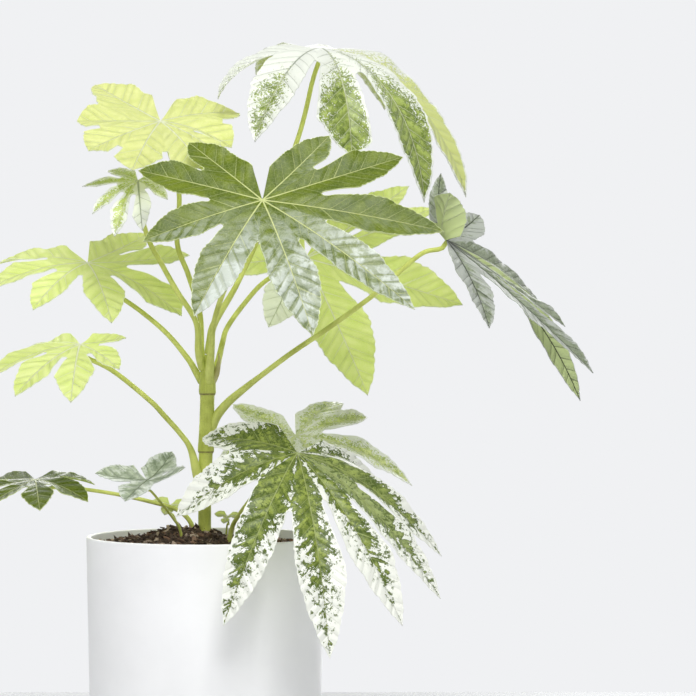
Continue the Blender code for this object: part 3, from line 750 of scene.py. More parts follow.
@dataclass
class Leaf:
    """One leaf: a lobed blade with its veins' relief, and the stalk that carries it.

    Attributes:
        name: what the names of its two pieces end with.
        hub: where the lobes meet, in millimetres.
        normal: the blade's upward direction there.
        tips: each lobe's spec, as Lobe takes it.
        stalk: the stalk's knots in millimetres, from its base to below the hub.
        base_radius: the stalk's radius at its base in millimetres.
        width: a lobe's half width as a share of its length.
        finish: which finish the blade has.
        teeth: how many coarse teeth a side of a lobe has.
        sinus: how far out the notches lie, as a share of the lobes' length; notches gives each its
            own.
        basal: how broad the outermost sides are.
        arch: the droop's form, as Lobe takes it.
        fold: how steeply the lobes fold up along their midribs.
        quilt: how far the blade swells between side veins, in metres; swells scales it per lobe.
        ruffle: the margin's waves in metres.
        cream: per lobe, how much later the cream starts on its right and its left side.
        pale: per lobe, how far its green turns to the underside's.
        dull: per lobe, what is added to the roughness.
        painted_sheen: per lobe, the share of whitish sheen painted on its right and its left side.
        look: what differs from the finish's usual look.
        fan_rows: how many rows of a lobe's grid lie inside its notches.
        free_rows: how many rows lie beyond them.
        columns: how many columns a side of a lobe has.
        thickness: the blade's, in metres.
    """

    name: str
    hub: Point
    normal: Point
    tips: tuple[tuple[float, ...], ...]
    stalk: tuple[Point, ...]
    base_radius: float
    width: float
    finish: Finish
    teeth: int = 3
    sinus: float = 0.36
    basal: float = 1.1
    arch: float = 0.0
    notches: tuple[float, ...] = ()
    fold: float = 0.18
    quilt: float = 0.0007
    ruffle: float = 0.0008
    cream: tuple[tuple[float, float], ...] = ()
    pale: tuple[float, ...] = ()
    dull: tuple[float, ...] = ()
    swells: tuple[float, ...] = ()
    painted_sheen: tuple[tuple[float, float], ...] = ()
    look: dict[str, object] = field(default_factory=dict)
    fan_rows: int = 12
    free_rows: int = 72
    columns: int = 8
    thickness: float = 0.0007

    def __post_init__(self) -> None:
        """Set up the lobes and the angles between neighbours."""
        self.up = np.array(self.normal) / np.linalg.norm(self.normal)
        self.lobes = [Lobe(tip, self.up, self.arch) for tip in self.tips]
        self.turns = [math.atan2(float(b.along @ a.side), float(b.along @ a.along))
                      for a, b in zip(self.lobes, self.lobes[1:])]
        self.mean_length = sum(lobe.length for lobe in self.lobes) / len(self.lobes)

    def neighbour(self, index: int, side: int) -> tuple[Lobe | None, float]:
        """Find the next lobe.

        Args:
            index: the lobe's number.
            side: which side of it, -1 or 1.

        Returns:
            The next lobe, or None, and half the angle to it.
        """
        other = index + side
        if 0 <= other < len(self.lobes):
            return self.lobes[other], 0.5 * self.turns[min(index, other)]
        return None, 0.0

    def even_width(self, index: int) -> float:
        """Return a lobe's usual half width: short lobes are broad for their length."""
        length = (1.0 - EVENNESS) * self.lobes[index].length + EVENNESS * self.mean_length
        return self.width * self.lobes[index].breadth * length

    def broad(self, index: int, side: int) -> float:
        """Return a lobe's broadest half width on a side; the outermost sides differ."""
        outer = self.neighbour(index, side)[0] is None
        return self.even_width(index) * (self.basal if outer else 1.0)

    def notch_radius(self, index: int, side: int) -> float:
        """Return how far from the hub the notch on a side of a lobe lies."""
        share = self.notches[min(index, index + side)] if self.notches else self.sinus
        return share * 0.5 * (self.lobes[index].length + self.lobes[index + side].length)

    def notch(self, index: int, side: int) -> tuple[float, float]:
        """Place the notch beside a lobe.

        Args:
            index: the lobe's number.
            side: which side of it, -1 or 1.

        Returns:
            The notch's distances along the lobe's midrib and to its side.
        """
        other, half = self.neighbour(index, side)
        if other is None:
            return self.sinus * self.lobes[index].length, OUTER_NECK * self.broad(index, side)
        radius = self.notch_radius(index, side)
        return radius * math.cos(half), radius * math.sin(half)

    def tooth(self, v: np.ndarray) -> np.ndarray:
        """Make the saw edge, coarse teeth with finer ones on them.

        Args:
            v: shares of the way from a lobe's notch to its tip.

        Returns:
            The teeth's heights, from 0 in a notch to about 1 on a crest.
        """
        coarse = (v - TEETH_FROM) / TEETH_SPAN * self.teeth % 1.0
        fine = (v - TEETH_FROM) / TEETH_SPAN * self.teeth * FINE_TEETH % 1.0
        coarse = np.where(coarse < TOOTH_CREST, coarse / TOOTH_CREST,
                          (1.0 - coarse) / (1.0 - TOOTH_CREST))
        fine = np.where(fine < FINE_CREST, fine / FINE_CREST, (1.0 - fine) / (1.0 - FINE_CREST))
        ease = eased(v, TEETH_START, TEETH_EASE_IN) * eased(-v, -TEETH_END, TEETH_EASE_OUT)
        return (TOOTH_SHARE * coarse + FINE_SHARE * fine) * ease

    def half_width(self, index: int, side: int, v: np.ndarray) -> np.ndarray:
        """Work out a lobe's outline with its teeth.

        Args:
            index: the lobe's number.
            side: which side of it, -1 or 1.
            v: shares of the way from its notch to its tip.

        Returns:
            The half widths there.
        """
        lobe = self.lobes[index]
        start, neck = self.notch(index, side)
        other, half = self.neighbour(index, side)
        broad = self.broad(index, side)
        x = eased(v, 0.0, WIDEST)
        rising = neck + (broad - neck) * x * x * (3.0 - 2.0 * x)
        x = eased(v, WIDEST, 1.0 - WIDEST)
        width = np.where(v < WIDEST, rising, broad * (1.0 - x) * (1.0 + TIP_ROUNDING * x))
        width = width + TOOTH_SIZE * broad * (1.0 - TOOTH_FADE * v) * self.tooth(v)
        if other is not None:
            s = start + v * (lobe.length - start)
            opening = np.clip(v * SLOT_OPENING, 0.0, 1.0)
            slot = SLOT_HALF * np.sqrt(1.0 - (1.0 - opening) ** 2)
            width = np.minimum(width, lobe.reach_at(s) * math.tan(half) - slot)
        return np.where(v <= 0.0, neck, np.maximum(width, 0.0))

    @staticmethod
    def vein_step(index: int, s: np.ndarray, w: np.ndarray) -> np.ndarray:
        """Count the side veins, which lie a little unevenly.

        Args:
            index: the lobe's number.
            s: distances along its midrib.
            w: distances to its side.

        Returns:
            A count that grows by one from side vein to side vein.
        """
        bent = s - np.abs(w) * VEIN_SLANT
        uneven = sum(size * np.sin(bent * turns + shift * index) for size, turns, shift in VEIN_WAVES)
        return (bent + uneven) / VEIN_PITCH

    def lift(self, index: int, s: np.ndarray, w: np.ndarray) -> np.ndarray:
        """Fold, quilt and ruffle a lobe.

        Args:
            index: the lobe's number.
            s: distances along its midrib.
            w: distances to its side.

        Returns:
            How far the blade rises over its midrib.
        """
        lobe = self.lobes[index]
        away = np.abs(w)
        ramp = np.clip(s / (self.sinus * lobe.length), 0.0, 1.0)
        step = self.vein_step(index, s, w) + 0.5 * (w > 0.0)
        part = step - np.floor(step)
        bulge = (1.0 - (2.0 * part - 1.0) ** 2) * np.clip(away / QUILT_EDGE, 0.0, 1.0)
        bulge = bulge * eased(s, QUILT_START, QUILT_RISE)
        share = np.clip(away / self.even_width(index), 0.0, RUFFLE_END)
        wave = (np.sin(s / SHORT_WAVE + WAVE_SHIFT * index + (w > 0.0))
                + LONG_SHARE * np.sin(s / LONG_WAVE + index))
        quilt = self.quilt * (self.swells[index] if self.swells else 1.0)
        return (self.fold * away * ramp + quilt * bulge
                + self.ruffle * wave * share ** 2 * ramp)

    def surface(self, index: int, s: np.ndarray, w: np.ndarray) -> np.ndarray:
        """Place points of a lobe, blended with the next lobe near the notch between them.

        Args:
            index: the lobe's number.
            s: distances along its midrib.
            w: distances to its side.

        Returns:
            The places in metres.
        """
        places = self.lobes[index].points(s, w, self.lift(index, s, w))
        for side in (-1, 1):
            other, half = self.neighbour(index, side)
            if other is None:
                continue
            radius = np.hypot(s, w)
            turn = np.arctan2(np.abs(w), s)
            edge = self.notch_radius(index, side)
            fade = np.clip((BLEND_END * edge - radius) / ((BLEND_END - 1.0) * edge), 0.0, 1.0)
            share = 0.5 * np.clip(turn / half, 0.0, 1.0) ** 2 * fade
            share = np.where((w * side > 0.0) & (s > 0.0), share, 0.0)[:, None]
            far = 2.0 * half - turn
            far_s, far_w = radius * np.cos(far), -side * radius * np.sin(far)
            theirs = other.points(far_s, far_w, self.lift(index + side, far_s, far_w))
            places = (1.0 - share) * places + share * theirs
        return places + np.array(self.hub) * MM

    def lobe_grid(self, index: int) -> bpy.types.Object:
        """Make one lobe from a flat grid: its rows run from the hub to the tip.

        Args:
            index: the lobe's number.

        Returns:
            The lobe's open sheet, with the map and attributes that the finishes read.
        """
        rows = self.fan_rows + self.free_rows
        deselect()
        bpy.ops.mesh.primitive_grid_add(x_subdivisions=2 * self.columns, y_subdivisions=rows, size=2.0)
        obj = bpy.context.view_layer.objects.active
        flat = np.array([vertex.co for vertex in obj.data.vertices])
        column = -flat[:, 0]
        row = (flat[:, 1] + 1.0) * 0.5 * rows
        lobe = self.lobes[index]
        away = np.abs(column) ** COLUMN_CROWDING
        fan = np.clip(row / self.fan_rows, 0.0, 1.0)
        v = eased(row, self.fan_rows, self.free_rows)
        v = np.clip(v * (1.0 + ROW_CROWDING * (1.0 - v)), 0.0, 1.0)
        s, half = np.zeros(len(row)), np.zeros(len(row))
        starts = [self.notch(index, side)[0] for side in (-1, 1)]
        middle = 0.5 * sum(starts)
        for side, start in zip((-1, 1), starts):
            here = column * side >= 0.0
            first = middle + (start - middle) * away ** 2
            s = np.where(here, (first + v * (lobe.length - first)) * fan, s)
            half = np.where(here, self.half_width(index, side, v) * fan, half)
        w = np.sign(column) * away * half
        obj.data.vertices.foreach_set("co", self.surface(index, s, w).ravel())
        rim = (1.0 - away) * half + HUB_RIM * (1.0 - fan)
        self.store(obj.data, index, s, w, away, rim)
        return obj

    def store(self, mesh: bpy.types.Mesh, index: int, s: np.ndarray, w: np.ndarray,
              away: np.ndarray, rim: np.ndarray) -> None:
        """Store a lobe's map and attributes on the mesh's corners.

        Args:
            mesh: the lobe's mesh.
            index: the lobe's number.
            s: each point's distance along the midrib.
            w: its distance to the side.
            away: its share of the way to the margin.
            rim: how far it is from a free edge, in metres.
        """
        corners = np.empty(len(mesh.loops), dtype=np.int64)
        mesh.loops.foreach_get("vertex_index", corners)
        while mesh.uv_layers:
            mesh.uv_layers.remove(mesh.uv_layers[0])
        layer = mesh.uv_layers.new(name="lobe")
        layer.data.foreach_set("uv", (np.column_stack([s, w])[corners] / UV_UNIT).ravel())
        length = self.lobes[index].length
        values = {"along": s / length, "across": away, "edge": rim / MM,
                  "turn": np.full(len(s), float(index)), "step": self.vein_step(index, s, w)}
        for name, shares in (("pale", self.pale), ("dull", self.dull)):
            values[name] = np.full(len(s), shares[index] if shares else 0.0)
        for name, pairs in (("cream", self.cream), ("painted_sheen", self.painted_sheen)):
            right, left = pairs[index] if pairs else (0.0, 0.0)
            values[name] = np.where(w > 0.0, left, right)
        # The painted sheen fades in from the hub along each lobe
        values["painted_sheen"] = values["painted_sheen"] * eased(s / length, PAINTED_SHEEN_START, PAINTED_SHEEN_RISE)
        for name, value in values.items():
            attribute = mesh.attributes.new(name, "FLOAT", "CORNER")
            attribute.data.foreach_set("value", value[corners].astype(np.float32))

    def build_blade(self) -> bpy.types.Object:
        """Join the lobes to one sheet and thicken it to a closed blade with two faces."""
        parts = [self.lobe_grid(index) for index in range(len(self.lobes))]
        select_only(*parts)
        bpy.ops.object.join()
        obj = bpy.context.view_layer.objects.active
        obj.name = "leaf_blade_" + self.name
        bpy.ops.object.mode_set(mode="EDIT")
        bpy.ops.mesh.select_all(action="SELECT")
        bpy.ops.mesh.remove_doubles(threshold=LOBE_WELD)
        bpy.ops.mesh.dissolve_degenerate(threshold=SLIVER)
        bpy.ops.object.mode_set(mode="OBJECT")
        look = replace(LOOKS[self.finish], **self.look)
        obj.data.materials.append(look.top("blade_" + self.name + "_top"))
        obj.data.materials.append(look.bottom("blade_" + self.name + "_under"))
        solid = obj.modifiers.new("thickness", "SOLIDIFY")
        solid.thickness = self.thickness
        solid.offset = 0.0
        solid.material_offset = 1
        apply_modifiers(obj)
        bpy.ops.object.shade_smooth_by_angle(angle=math.radians(BLADE_ANGLE))
        settle(obj, self.finish.value, "blade_" + self.name)
        return obj

    def build_stalk(self, finish: bpy.types.Material) -> bpy.types.Object:
        """Make the stalk, wide at its base and slim below the blade.

        Args:
            finish: the stalk's material.

        Returns:
            The stalk's object.
        """
        hub = np.array(self.hub, dtype=float)
        ends = [tuple(hub - self.up * drop) for drop in (STALK_BEND_DROP, STALK_END_DROP)]
        points = smooth_path(list(self.stalk) + ends, STALK_STEPS)
        slim = min(STALK_SLIM, self.base_radius * STALK_SLIM_SHARE)
        marks, base_shares, slim_shares = zip(*STALK_PROFILE)
        profile = self.base_radius * np.array(base_shares) + slim * np.array(slim_shares)
        radii = np.interp(np.linspace(0.0, 1.0, STALK_STEPS), marks, profile) * MM
        obj = tube("leaf_stalk_" + self.name, points, radii)
        obj.data.materials.append(finish)
        settle(obj, "stalk", "stalk_" + self.name)
        return obj


LEAVES = (
    Leaf(
        "main", hub=(55, -120, 495), normal=(0.03, -0.74, 0.67), width=0.145,
        finish=Finish.PLAIN, teeth=4, basal=1.2, quilt=0.00045,
        swells=(0.1, 0.1, 0.6, 1.0, 1.0, 1.0, 0.6, 0.1, 0.1),
        dull=(0.12, 0.12, 0.05, 0.0, 0.0, 0.0, 0.08, 0.12, 0.12),
        # Shares of the whitish sheen painted into the colour of the lower lobes
        painted_sheen=((0.0, 0.0), (0.0, 0.0), (0.0, 0.35), (0.3, 1.1), (0.85, 0.9), (0.8, 0.85),
               (0.15, 0.0), (0.0, 0.0), (0.2, 0.0)),
        notches=(0.59, 0.40, 0.38, 0.37, 0.36, 0.36, 0.35, 0.50),
        tips=((-66, 48, 53, 0, 0.85), (-108, 24, 27), (-100, -24, -36), (-55, -58, -100),
              (44, -60, -116), (129, -44, -94, 0, 0.82), (155, -2, -27), (121, 42, 40, 0, 1.1),
              (57, 47, 59, 0, 0.85)),
        stalk=((3, -4, 338), (4, -9, 350), (6, -18, 369), (9, -30, 392), (19, -50, 420),
               (37, -82, 455)),
        base_radius=4.0),
    # Near its hub this blade is painted whitish: partly cream variegation, partly a painted sheen
    Leaf(
        "top", hub=(103, 20, 641), normal=(0.05, -0.16, 0.99), width=0.16,
        finish=Finish.MARBLED, sinus=0.24, basal=0.8, arch=0.9,
        look={"deep": (0.085, 0.142, 0.008), "fresh": (0.48, 0.58, 0.14)},
        cream=((-0.9, -0.9), (-0.25, -0.5), (0.3, 0.25), (0.6, 0.4), (0.9, 0.9), (0.0, 0.0),
               (0.0, 0.0)),
        pale=(0.0, 0.0, 0.0, 0.0, 1.0, 0.0, 0.0),
        notches=(0.42, 0.36, 0.38, 0.34, 0.34, 0.30),
        tips=((-92, -20, -48, 0, 1.1), (-56, -98, -93, 0, 0.88, 0.3), (28, -72, -104, 0, 1.6),
              (92, -70, -144, 0, 0.85, 1.0), (133, 20, -134, 45, 0.65, 0.45), (60, 118, -45),
              (-60, 105, -20)),
        stalk=((2, 0, 363.3), (4, 1, 376), (8, 2, 392), (28, 6, 427), (50, 10, 476), (82, 16, 557),
               (96, 19, 612)),
        base_radius=3.6),
    Leaf(
        "upper_left", hub=(-40, -10, 572), normal=(0.0, -0.45, 0.89), width=0.29,
        finish=Finish.PALE, sinus=0.46, basal=1.2, teeth=2,
        look={"deep": (0.72, 0.76, 0.30), "fresh": (0.90, 0.90, 0.52), "tones": 0.5},
        notches=(0.72, 0.72, 0.76, 0.76, 0.76, 0.48, 0.74),
        tips=((-66, 72, 40, 0, 0.66), (-75, 0, 0), (-60, -45, -30), (-20, -60, -48), (43, -60, -48),
              (52, -35, -30), (64, -6, -24), (66, 48, 12)),
        stalk=((-3, 4, 351), (-5, 8, 366), (-6, 8, 401), (-16, 5, 435), (-26, 3, 464),
               (-24, 0, 507), (-33, -5, 548)),
        base_radius=3.6),
    Leaf(
        "left", hub=(-59, -25, 518), normal=(-0.05, -0.45, 0.89), width=0.15,
        finish=Finish.MARBLED, teeth=2,
        look={"deep": (0.34, 0.44, 0.09), "fresh": (0.62, 0.72, 0.22), "cream_from": 0.7,
              "cream_rise": -0.1, "streak": 0.5, "patch": 0.5, "relief": 0.0005, "painted_vein_shade": 0.2,
              "vein": (0.74, 0.78, 0.46)},
        cream=((0.1, 0.1), (0.0, 0.0), (0.0, -0.1), (0.1, -0.1), (-1.4, -1.4), (-0.3, -0.3),
               (-0.2, -0.2)),
        tips=((-30, 35, 11), (-50, 5, -5), (-38, -25, -31), (-17, -45, -52), (8, -50, -47),
              (28, -20, -18), (28, 20, -5)),
        stalk=((-3, -3, 350), (-6, -9, 366), (-8, -13, 392), (-25, -16, 420), (-39, -18, 445),
               (-50, -20, 466), (-58, -20, 495)),
        base_radius=3.6),
    Leaf(
        "side_left", hub=(-111, 45, 447), normal=(0.1, -0.35, 0.93), width=0.19,
        finish=Finish.PALE, teeth=2,
        tips=((-90, 45, 0), (-95, -20, -28), (-44, -50, -44), (28, -62, -56),
              (88, -25, -49, 0, 1.7), (92, 25, 8, 0, 1.6), (50, 80, 30)),
        stalk=((-4, 2, 338), (-10, 5, 349), (-17, 8, 360), (-36, 16, 382), (-60, 26, 402),
               (-88, 38, 421)),
        base_radius=3.2),
    Leaf(
        "low_left", hub=(-110, -30, 372), normal=(0.0, -0.3, 0.95), width=0.20,
        finish=Finish.PALE, teeth=2,
        tips=((-62, 56, -14), (-86, -10, -34), (-50, -60, -45), (0, -75, -50), (38, -35, -22),
              (40, 12, 6)),
        stalk=((-3, -2, 241), (-7, -5, 254), (-13, -8, 278), (-22, -10, 292), (-36, -13, 308),
               (-49, -16, 322), (-82, -24, 349)),
        base_radius=4.6),
    Leaf(
        "back_right", hub=(88, 90, 453), normal=(0.1, -0.75, 0.65), width=0.16,
        finish=Finish.PALE,
        cream=((0.0, 0.0), (0.0, 0.0), (-2.6, -2.6), (0.0, 0.0), (0.0, 0.0), (0.0, 0.0), (0.0, 0.0)),
        notches=(0.36, 0.36, 0.36, 0.27, 0.36, 0.30),
        tips=((-60, 60, 60), (-95, -15, -10), (-33, -45, -65), (58, -80, -127, 0, 1.2),
              (147, -10, -44, 0, 1.3), (123, 55, 50, 0, 0.75), (99, 72, 72, 0, 0.75)),
        stalk=((5, 4, 340), (10, 12, 355), (14, 22, 374), (18, 32, 388), (32, 50, 409),
               (50, 70, 430), (74, 96, 445)),
        base_radius=3.4),
    Leaf(
        "right", hub=(216, -20, 465), normal=(0.5, -0.35, 0.79), width=0.14,
        finish=Finish.SILVER, sinus=0.34, pale=(0.0, 0.0, 0.0, 0.85, 0.0, 0.0, 0.0, 0.0),
        cream=((-0.5, 0.0), (-0.3, 0.2), (0.7, 0.6), (1.5, 1.5), (0.5, 0.5), (-0.4, -0.4),
               (0.2, 0.2), (1.5, 1.5)),
        tips=((34, -75, -79, 0, 0.85), (126, -50, -118), (105, -8, -77), (125, 60, -145, 85, 0.55),
              (95, 75, -66), (33, 70, 26, 0, 1.1), (-4, 30, 62, -60, 0.65), (2, -25, 41, 75, 1.5)),
        stalk=((3, 0, 290), (6, 0, 299), (10, -1, 308), (20, -3, 320), (33, -5, 331),
               (51, -7, 345), (78, -10, 365), (112, -13, 388), (153, -16, 418), (175, -18, 438),
               (195, -19, 454)),
        base_radius=4.4),
    Leaf(
        "low_front", hub=(84, -85, 278), normal=(0.12, -0.62, 0.77), width=0.12,
        finish=Finish.EDGED, sinus=0.30, teeth=4, basal=1.0,
        cream=((0.0, 0.2), (-0.3, -0.25), (0.1, -0.3), (-0.1, -0.25), (-0.65, -0.05), (-0.1, 0.1),
               (0.1, 0.0), (-0.9, -0.7)),
        pale=(0.0, 0.0, 0.0, 0.0, 0.0, 0.6, 0.2, 0.0),
        notches=(0.55, 0.33, 0.36, 0.30, 0.36, 0.34, 0.34),
        tips=((-84, 35, 12, 0, 1.35), (-104, -15, -54, 0, 1.15), (-61, -62, -143, 0, 0.92),
              (29, -85, -168), (90, -55, -144, 0, 0.92), (124, -5, -126, 0, 0.7),
              (126, 30, -92, 0, 0.7), (69, 55, -27, 0, 0.8)),
        stalk=((21, -25, 185), (24, -28, 206), (30, -36, 219), (48, -56, 243), (68, -75, 264)),
        base_radius=2.6),
    Leaf(
        "low_back", hub=(80, 40, 289), normal=(0.0, -0.45, 0.89), width=0.16,
        finish=Finish.MARBLED, teeth=2, basal=0.9,
        look={"deep": (0.24, 0.34, 0.04), "fresh": (0.78, 0.84, 0.38), "tones": 1.5, "cream_from": 0.5,
              "cream_rise": 0.0, "patch": 0.9, "relief": 0.0005, "painted_vein_shade": 0.2, "vein": (0.72, 0.77, 0.46),
              "cream_vein": (0.70, 0.76, 0.50)},
        notches=(0.36, 0.36, 0.36, 0.36, 0.24, 0.8),
        tips=((-60, 50, 27), (-77, 15, -34, 0, 1.4), (-20, -55, -65), (45, -50, -70), (107, 15, -47),
              (66, 45, 15), (34, 75, 29)),
        stalk=((3, 1, 241), (7, 3, 250), (11, 6, 257), (24, 12, 263), (46, 24, 267),
               (68, 36, 274)),
        base_radius=3.2),
    Leaf(
        "shoot_left", hub=(-48, -60, 253), normal=(0.0, -0.3, 0.95), width=0.30,
        finish=Finish.SILVER, teeth=2,
        look={"deep": (0.21, 0.27, 0.17), "fresh": (0.58, 0.64, 0.52), "cream_from": 0.75,
              "cream": (0.70, 0.74, 0.68), "vein": (0.16, 0.21, 0.10), "ribs": 0.8, "tones": 0.9,
              "painted_vein_shade": 0.6},
        tips=((-46, 4, 6, 0, 1.3), (-16, -40, -16), (34, -12, 12, 0, 1.2), (20, 30, 24)),
        stalk=((-19, -25, 185), (-21, -27, 206), (-27, -34, 218), (-44, -54, 242)),
        base_radius=1.7),
    Leaf(
        "far_left", hub=(-157, 30, 249), normal=(-0.1, -0.2, 0.97), width=0.20,
        finish=Finish.PLAIN, teeth=2,
        tips=((-58, 40, -8), (-70, -15, -14), (-38, -56, -22), (12, -66, -24), (52, -38, -18),
              (52, 24, -6)),
        stalk=((-11, 9, 185), (-12, 9, 204), (-16, 10, 214), (-26, 14, 222), (-41, 18, 227),
               (-83, 26, 236), (-130, 30, 242)),
        base_radius=2.6),
    Leaf(
        "young_left", hub=(-34, 26, 226), normal=(0.1, -0.5, 0.85), width=0.34,
        finish=Finish.PALE, teeth=1, free_rows=36, quilt=0.0002, ruffle=0.0003,
        tips=((-16, 6, 4), (-4, -14, -8), (15, -2, 3)),
        stalk=((-26, 22, 185), (-27, 23, 206), (-31, 26, 217)),
        base_radius=1.2),
    Leaf(
        "young_right", hub=(19, 12, 217), normal=(-0.1, -0.5, 0.85), width=0.34,
        finish=Finish.PALE, teeth=1, free_rows=36, quilt=0.0002, ruffle=0.0003,
        tips=((-12, 2, 2), (-3, -10, -6), (11, -3, 1)),
        stalk=((17, 14, 185), (18, 14, 204), (19, 14, 210)),
        base_radius=1.2),
)


@dataclass(frozen=True)
class BarkLook:
    """The finish of the green stem and stalks: fine stripes, pale lenticels and scar rings.

    The clouds go from dark to light, the stripes are light, and the lenticels and the rings, which
    lie at the heights in scars, have the scar's colour. A pair is where something begins and where
    it is full; ring_line is what the noise adds to a ring, and a ring's least strength.
    """

    light: Colour
    dark: Colour
    scar: Colour
    scars: tuple[float, ...] = ()
    roughness: float = 0.48
    stripes: Pattern = Pattern(900.0, 3.0, 0.6)
    clouds: Pattern = Pattern(60.0)
    uneven: Pattern = Pattern(500.0, 2.0)
    stretch: float = 0.08
    lenticels: float = 620.0
    lenticel: tuple[float, float] = (0.22, 0.14)
    striped: float = 0.3
    spotted: float = 0.35
    ring: tuple[float, float] = (0.0012, 0.0004)
    ring_line: tuple[float, float] = (0.8, 0.3)
    relief: float = 0.00025
    clouded: float = 0.5

    def material(self, name: str) -> bpy.types.Material:
        """Make the material.

        Args:
            name: the material's name.

        Returns:
            The finished material.
        """
        sheet = Sheet(name)
        place = sheet.place()
        x, y, z = sheet.split(place)
        stretched = sheet.joined(x, y, sheet.times(z, self.stretch))
        stripes = sheet.pattern(stretched, self.stripes)
        cloud = sheet.pattern(place, self.clouds)
        specks = sheet.between(sheet.cells(place, self.lenticels, "F1"), *self.lenticel)
        colour = sheet.mix(cloud, self.dark, self.light)
        colour = sheet.mix(sheet.times(stripes, self.striped), colour, self.light)
        colour = sheet.mix(sheet.times(specks, self.spotted), colour, self.scar)
        ring = 0.0
        for height in self.scars:
            off = sheet.math("ABSOLUTE", sheet.math("SUBTRACT", z, height))
            ring = sheet.most(ring, sheet.between(off, *self.ring))
        if self.scars:
            uneven = sheet.line(sheet.noise(place, self.uneven), *self.ring_line)
            colour = sheet.mix(sheet.times(ring, uneven), colour, self.scar)
        sheet.put(sheet.shader, "Base Color", colour)
        sheet.put(sheet.shader, "Roughness", self.roughness)
        sheet.bump(sheet.plus(stripes, sheet.times(cloud, self.clouded)), self.relief)
        return sheet.material


STEM_LOOK = BarkLook(light=(0.63, 0.69, 0.15), dark=(0.38, 0.43, 0.060), scar=(0.16, 0.12, 0.05),
                     scars=(0.2755, 0.3275))
STALK_LOOK = BarkLook(light=(0.71, 0.77, 0.20), dark=(0.47, 0.52, 0.095), scar=(0.40, 0.40, 0.16))
BUD_LOOK = BarkLook(light=(0.60, 0.58, 0.26), dark=(0.42, 0.36, 0.13), scar=(0.30, 0.24, 0.10))


@dataclass
class Stem:
    """The upright stem with its leaf scars, and the closed bud beside its top.

    Rings hold heights and radii, lean holds heights and the middle's distance to the right, and
    the bud has its knots and radii, all in millimetres.
    """

    rings: tuple[tuple[float, float], ...] = (
        (122, 5.8), (203, 5.8), (246, 6.0), (268, 6.2), (274, 6.3), (276, 7.3), (278, 7.4),
        (290, 6.9), (304, 6.7), (320, 6.5), (326, 6.6), (328.2, 7.7), (331, 7.8), (346, 7.0),
        (353, 6.4), (358, 5.4), (361.5, 4.4), (363, 3.2))
    lean: tuple[tuple[float, float], ...] = ((122, -1.0), (246, -1.0), (304, 1.0), (363, 2.0))
    bud_points: tuple[Point, ...] = ((6, -1, 336), (10, -1, 347), (12, -1, 358), (11.5, -1, 364))
    bud_radii: tuple[float, ...] = (2.4, 2.9, 2.0, 0.6)
    steps: int = 90
    bud_steps: int = 24

    def build(self) -> None:
        """Make the stem and the bud."""
        heights, radii = np.array(self.rings, dtype=float).T
        fine = np.unique(np.concatenate([np.linspace(heights[0], heights[-1], self.steps), heights]))
        across = np.interp(fine, *zip(*self.lean))
        points = np.column_stack([across, np.zeros(len(fine)), fine]) * MM
        stem = tube("trunk", points, np.interp(fine, heights, radii) * MM, resolution=8)
        stem.data.materials.append(STEM_LOOK.material("stem_bark"))
        settle(stem, "stem", "stem")
        points = smooth_path(list(self.bud_points), self.bud_steps)
        places = np.linspace(0, len(self.bud_radii) - 1, self.bud_steps)
        radii = np.interp(places, range(len(self.bud_radii)), self.bud_radii) * MM
        bud = tube("closed_bud", points, radii, resolution=5)
        bud.data.materials.append(BUD_LOOK.material("bud_scales"))
        settle(bud, "bud", "bud")


@dataclass(frozen=True)
class PotLook:
    """The finish of the pot: a matt white glaze, faintly cloudy, with a fine tooth.

    Its clouds go from dark to light, and clouded is what they add to the roughness.
    """

    light: Colour = (0.84, 0.84, 0.84)
    dark: Colour = (0.80, 0.80, 0.80)
    roughness: float = 0.5
    clouded: float = 0.08
    clouds: Pattern = Pattern(14.0, 4.0)
    tooth: Pattern = Pattern(1400.0, 2.0)
    relief: float = 0.00008
    strength: float = 0.6

    def material(self, name: str) -> bpy.types.Material:
        """Make the material.

        Args:
            name: the material's name.

        Returns:
            The finished material.
        """
        sheet = Sheet(name)
        place = sheet.place()
        cloud = sheet.pattern(place, self.clouds)
        sheet.put(sheet.shader, "Base Color", sheet.mix(cloud, self.dark, self.light))
        sheet.put(sheet.shader, "Roughness", sheet.line(cloud, self.clouded, self.roughness))
        sheet.bump(sheet.noise(place, self.tooth), self.relief, self.strength)
        return sheet.material


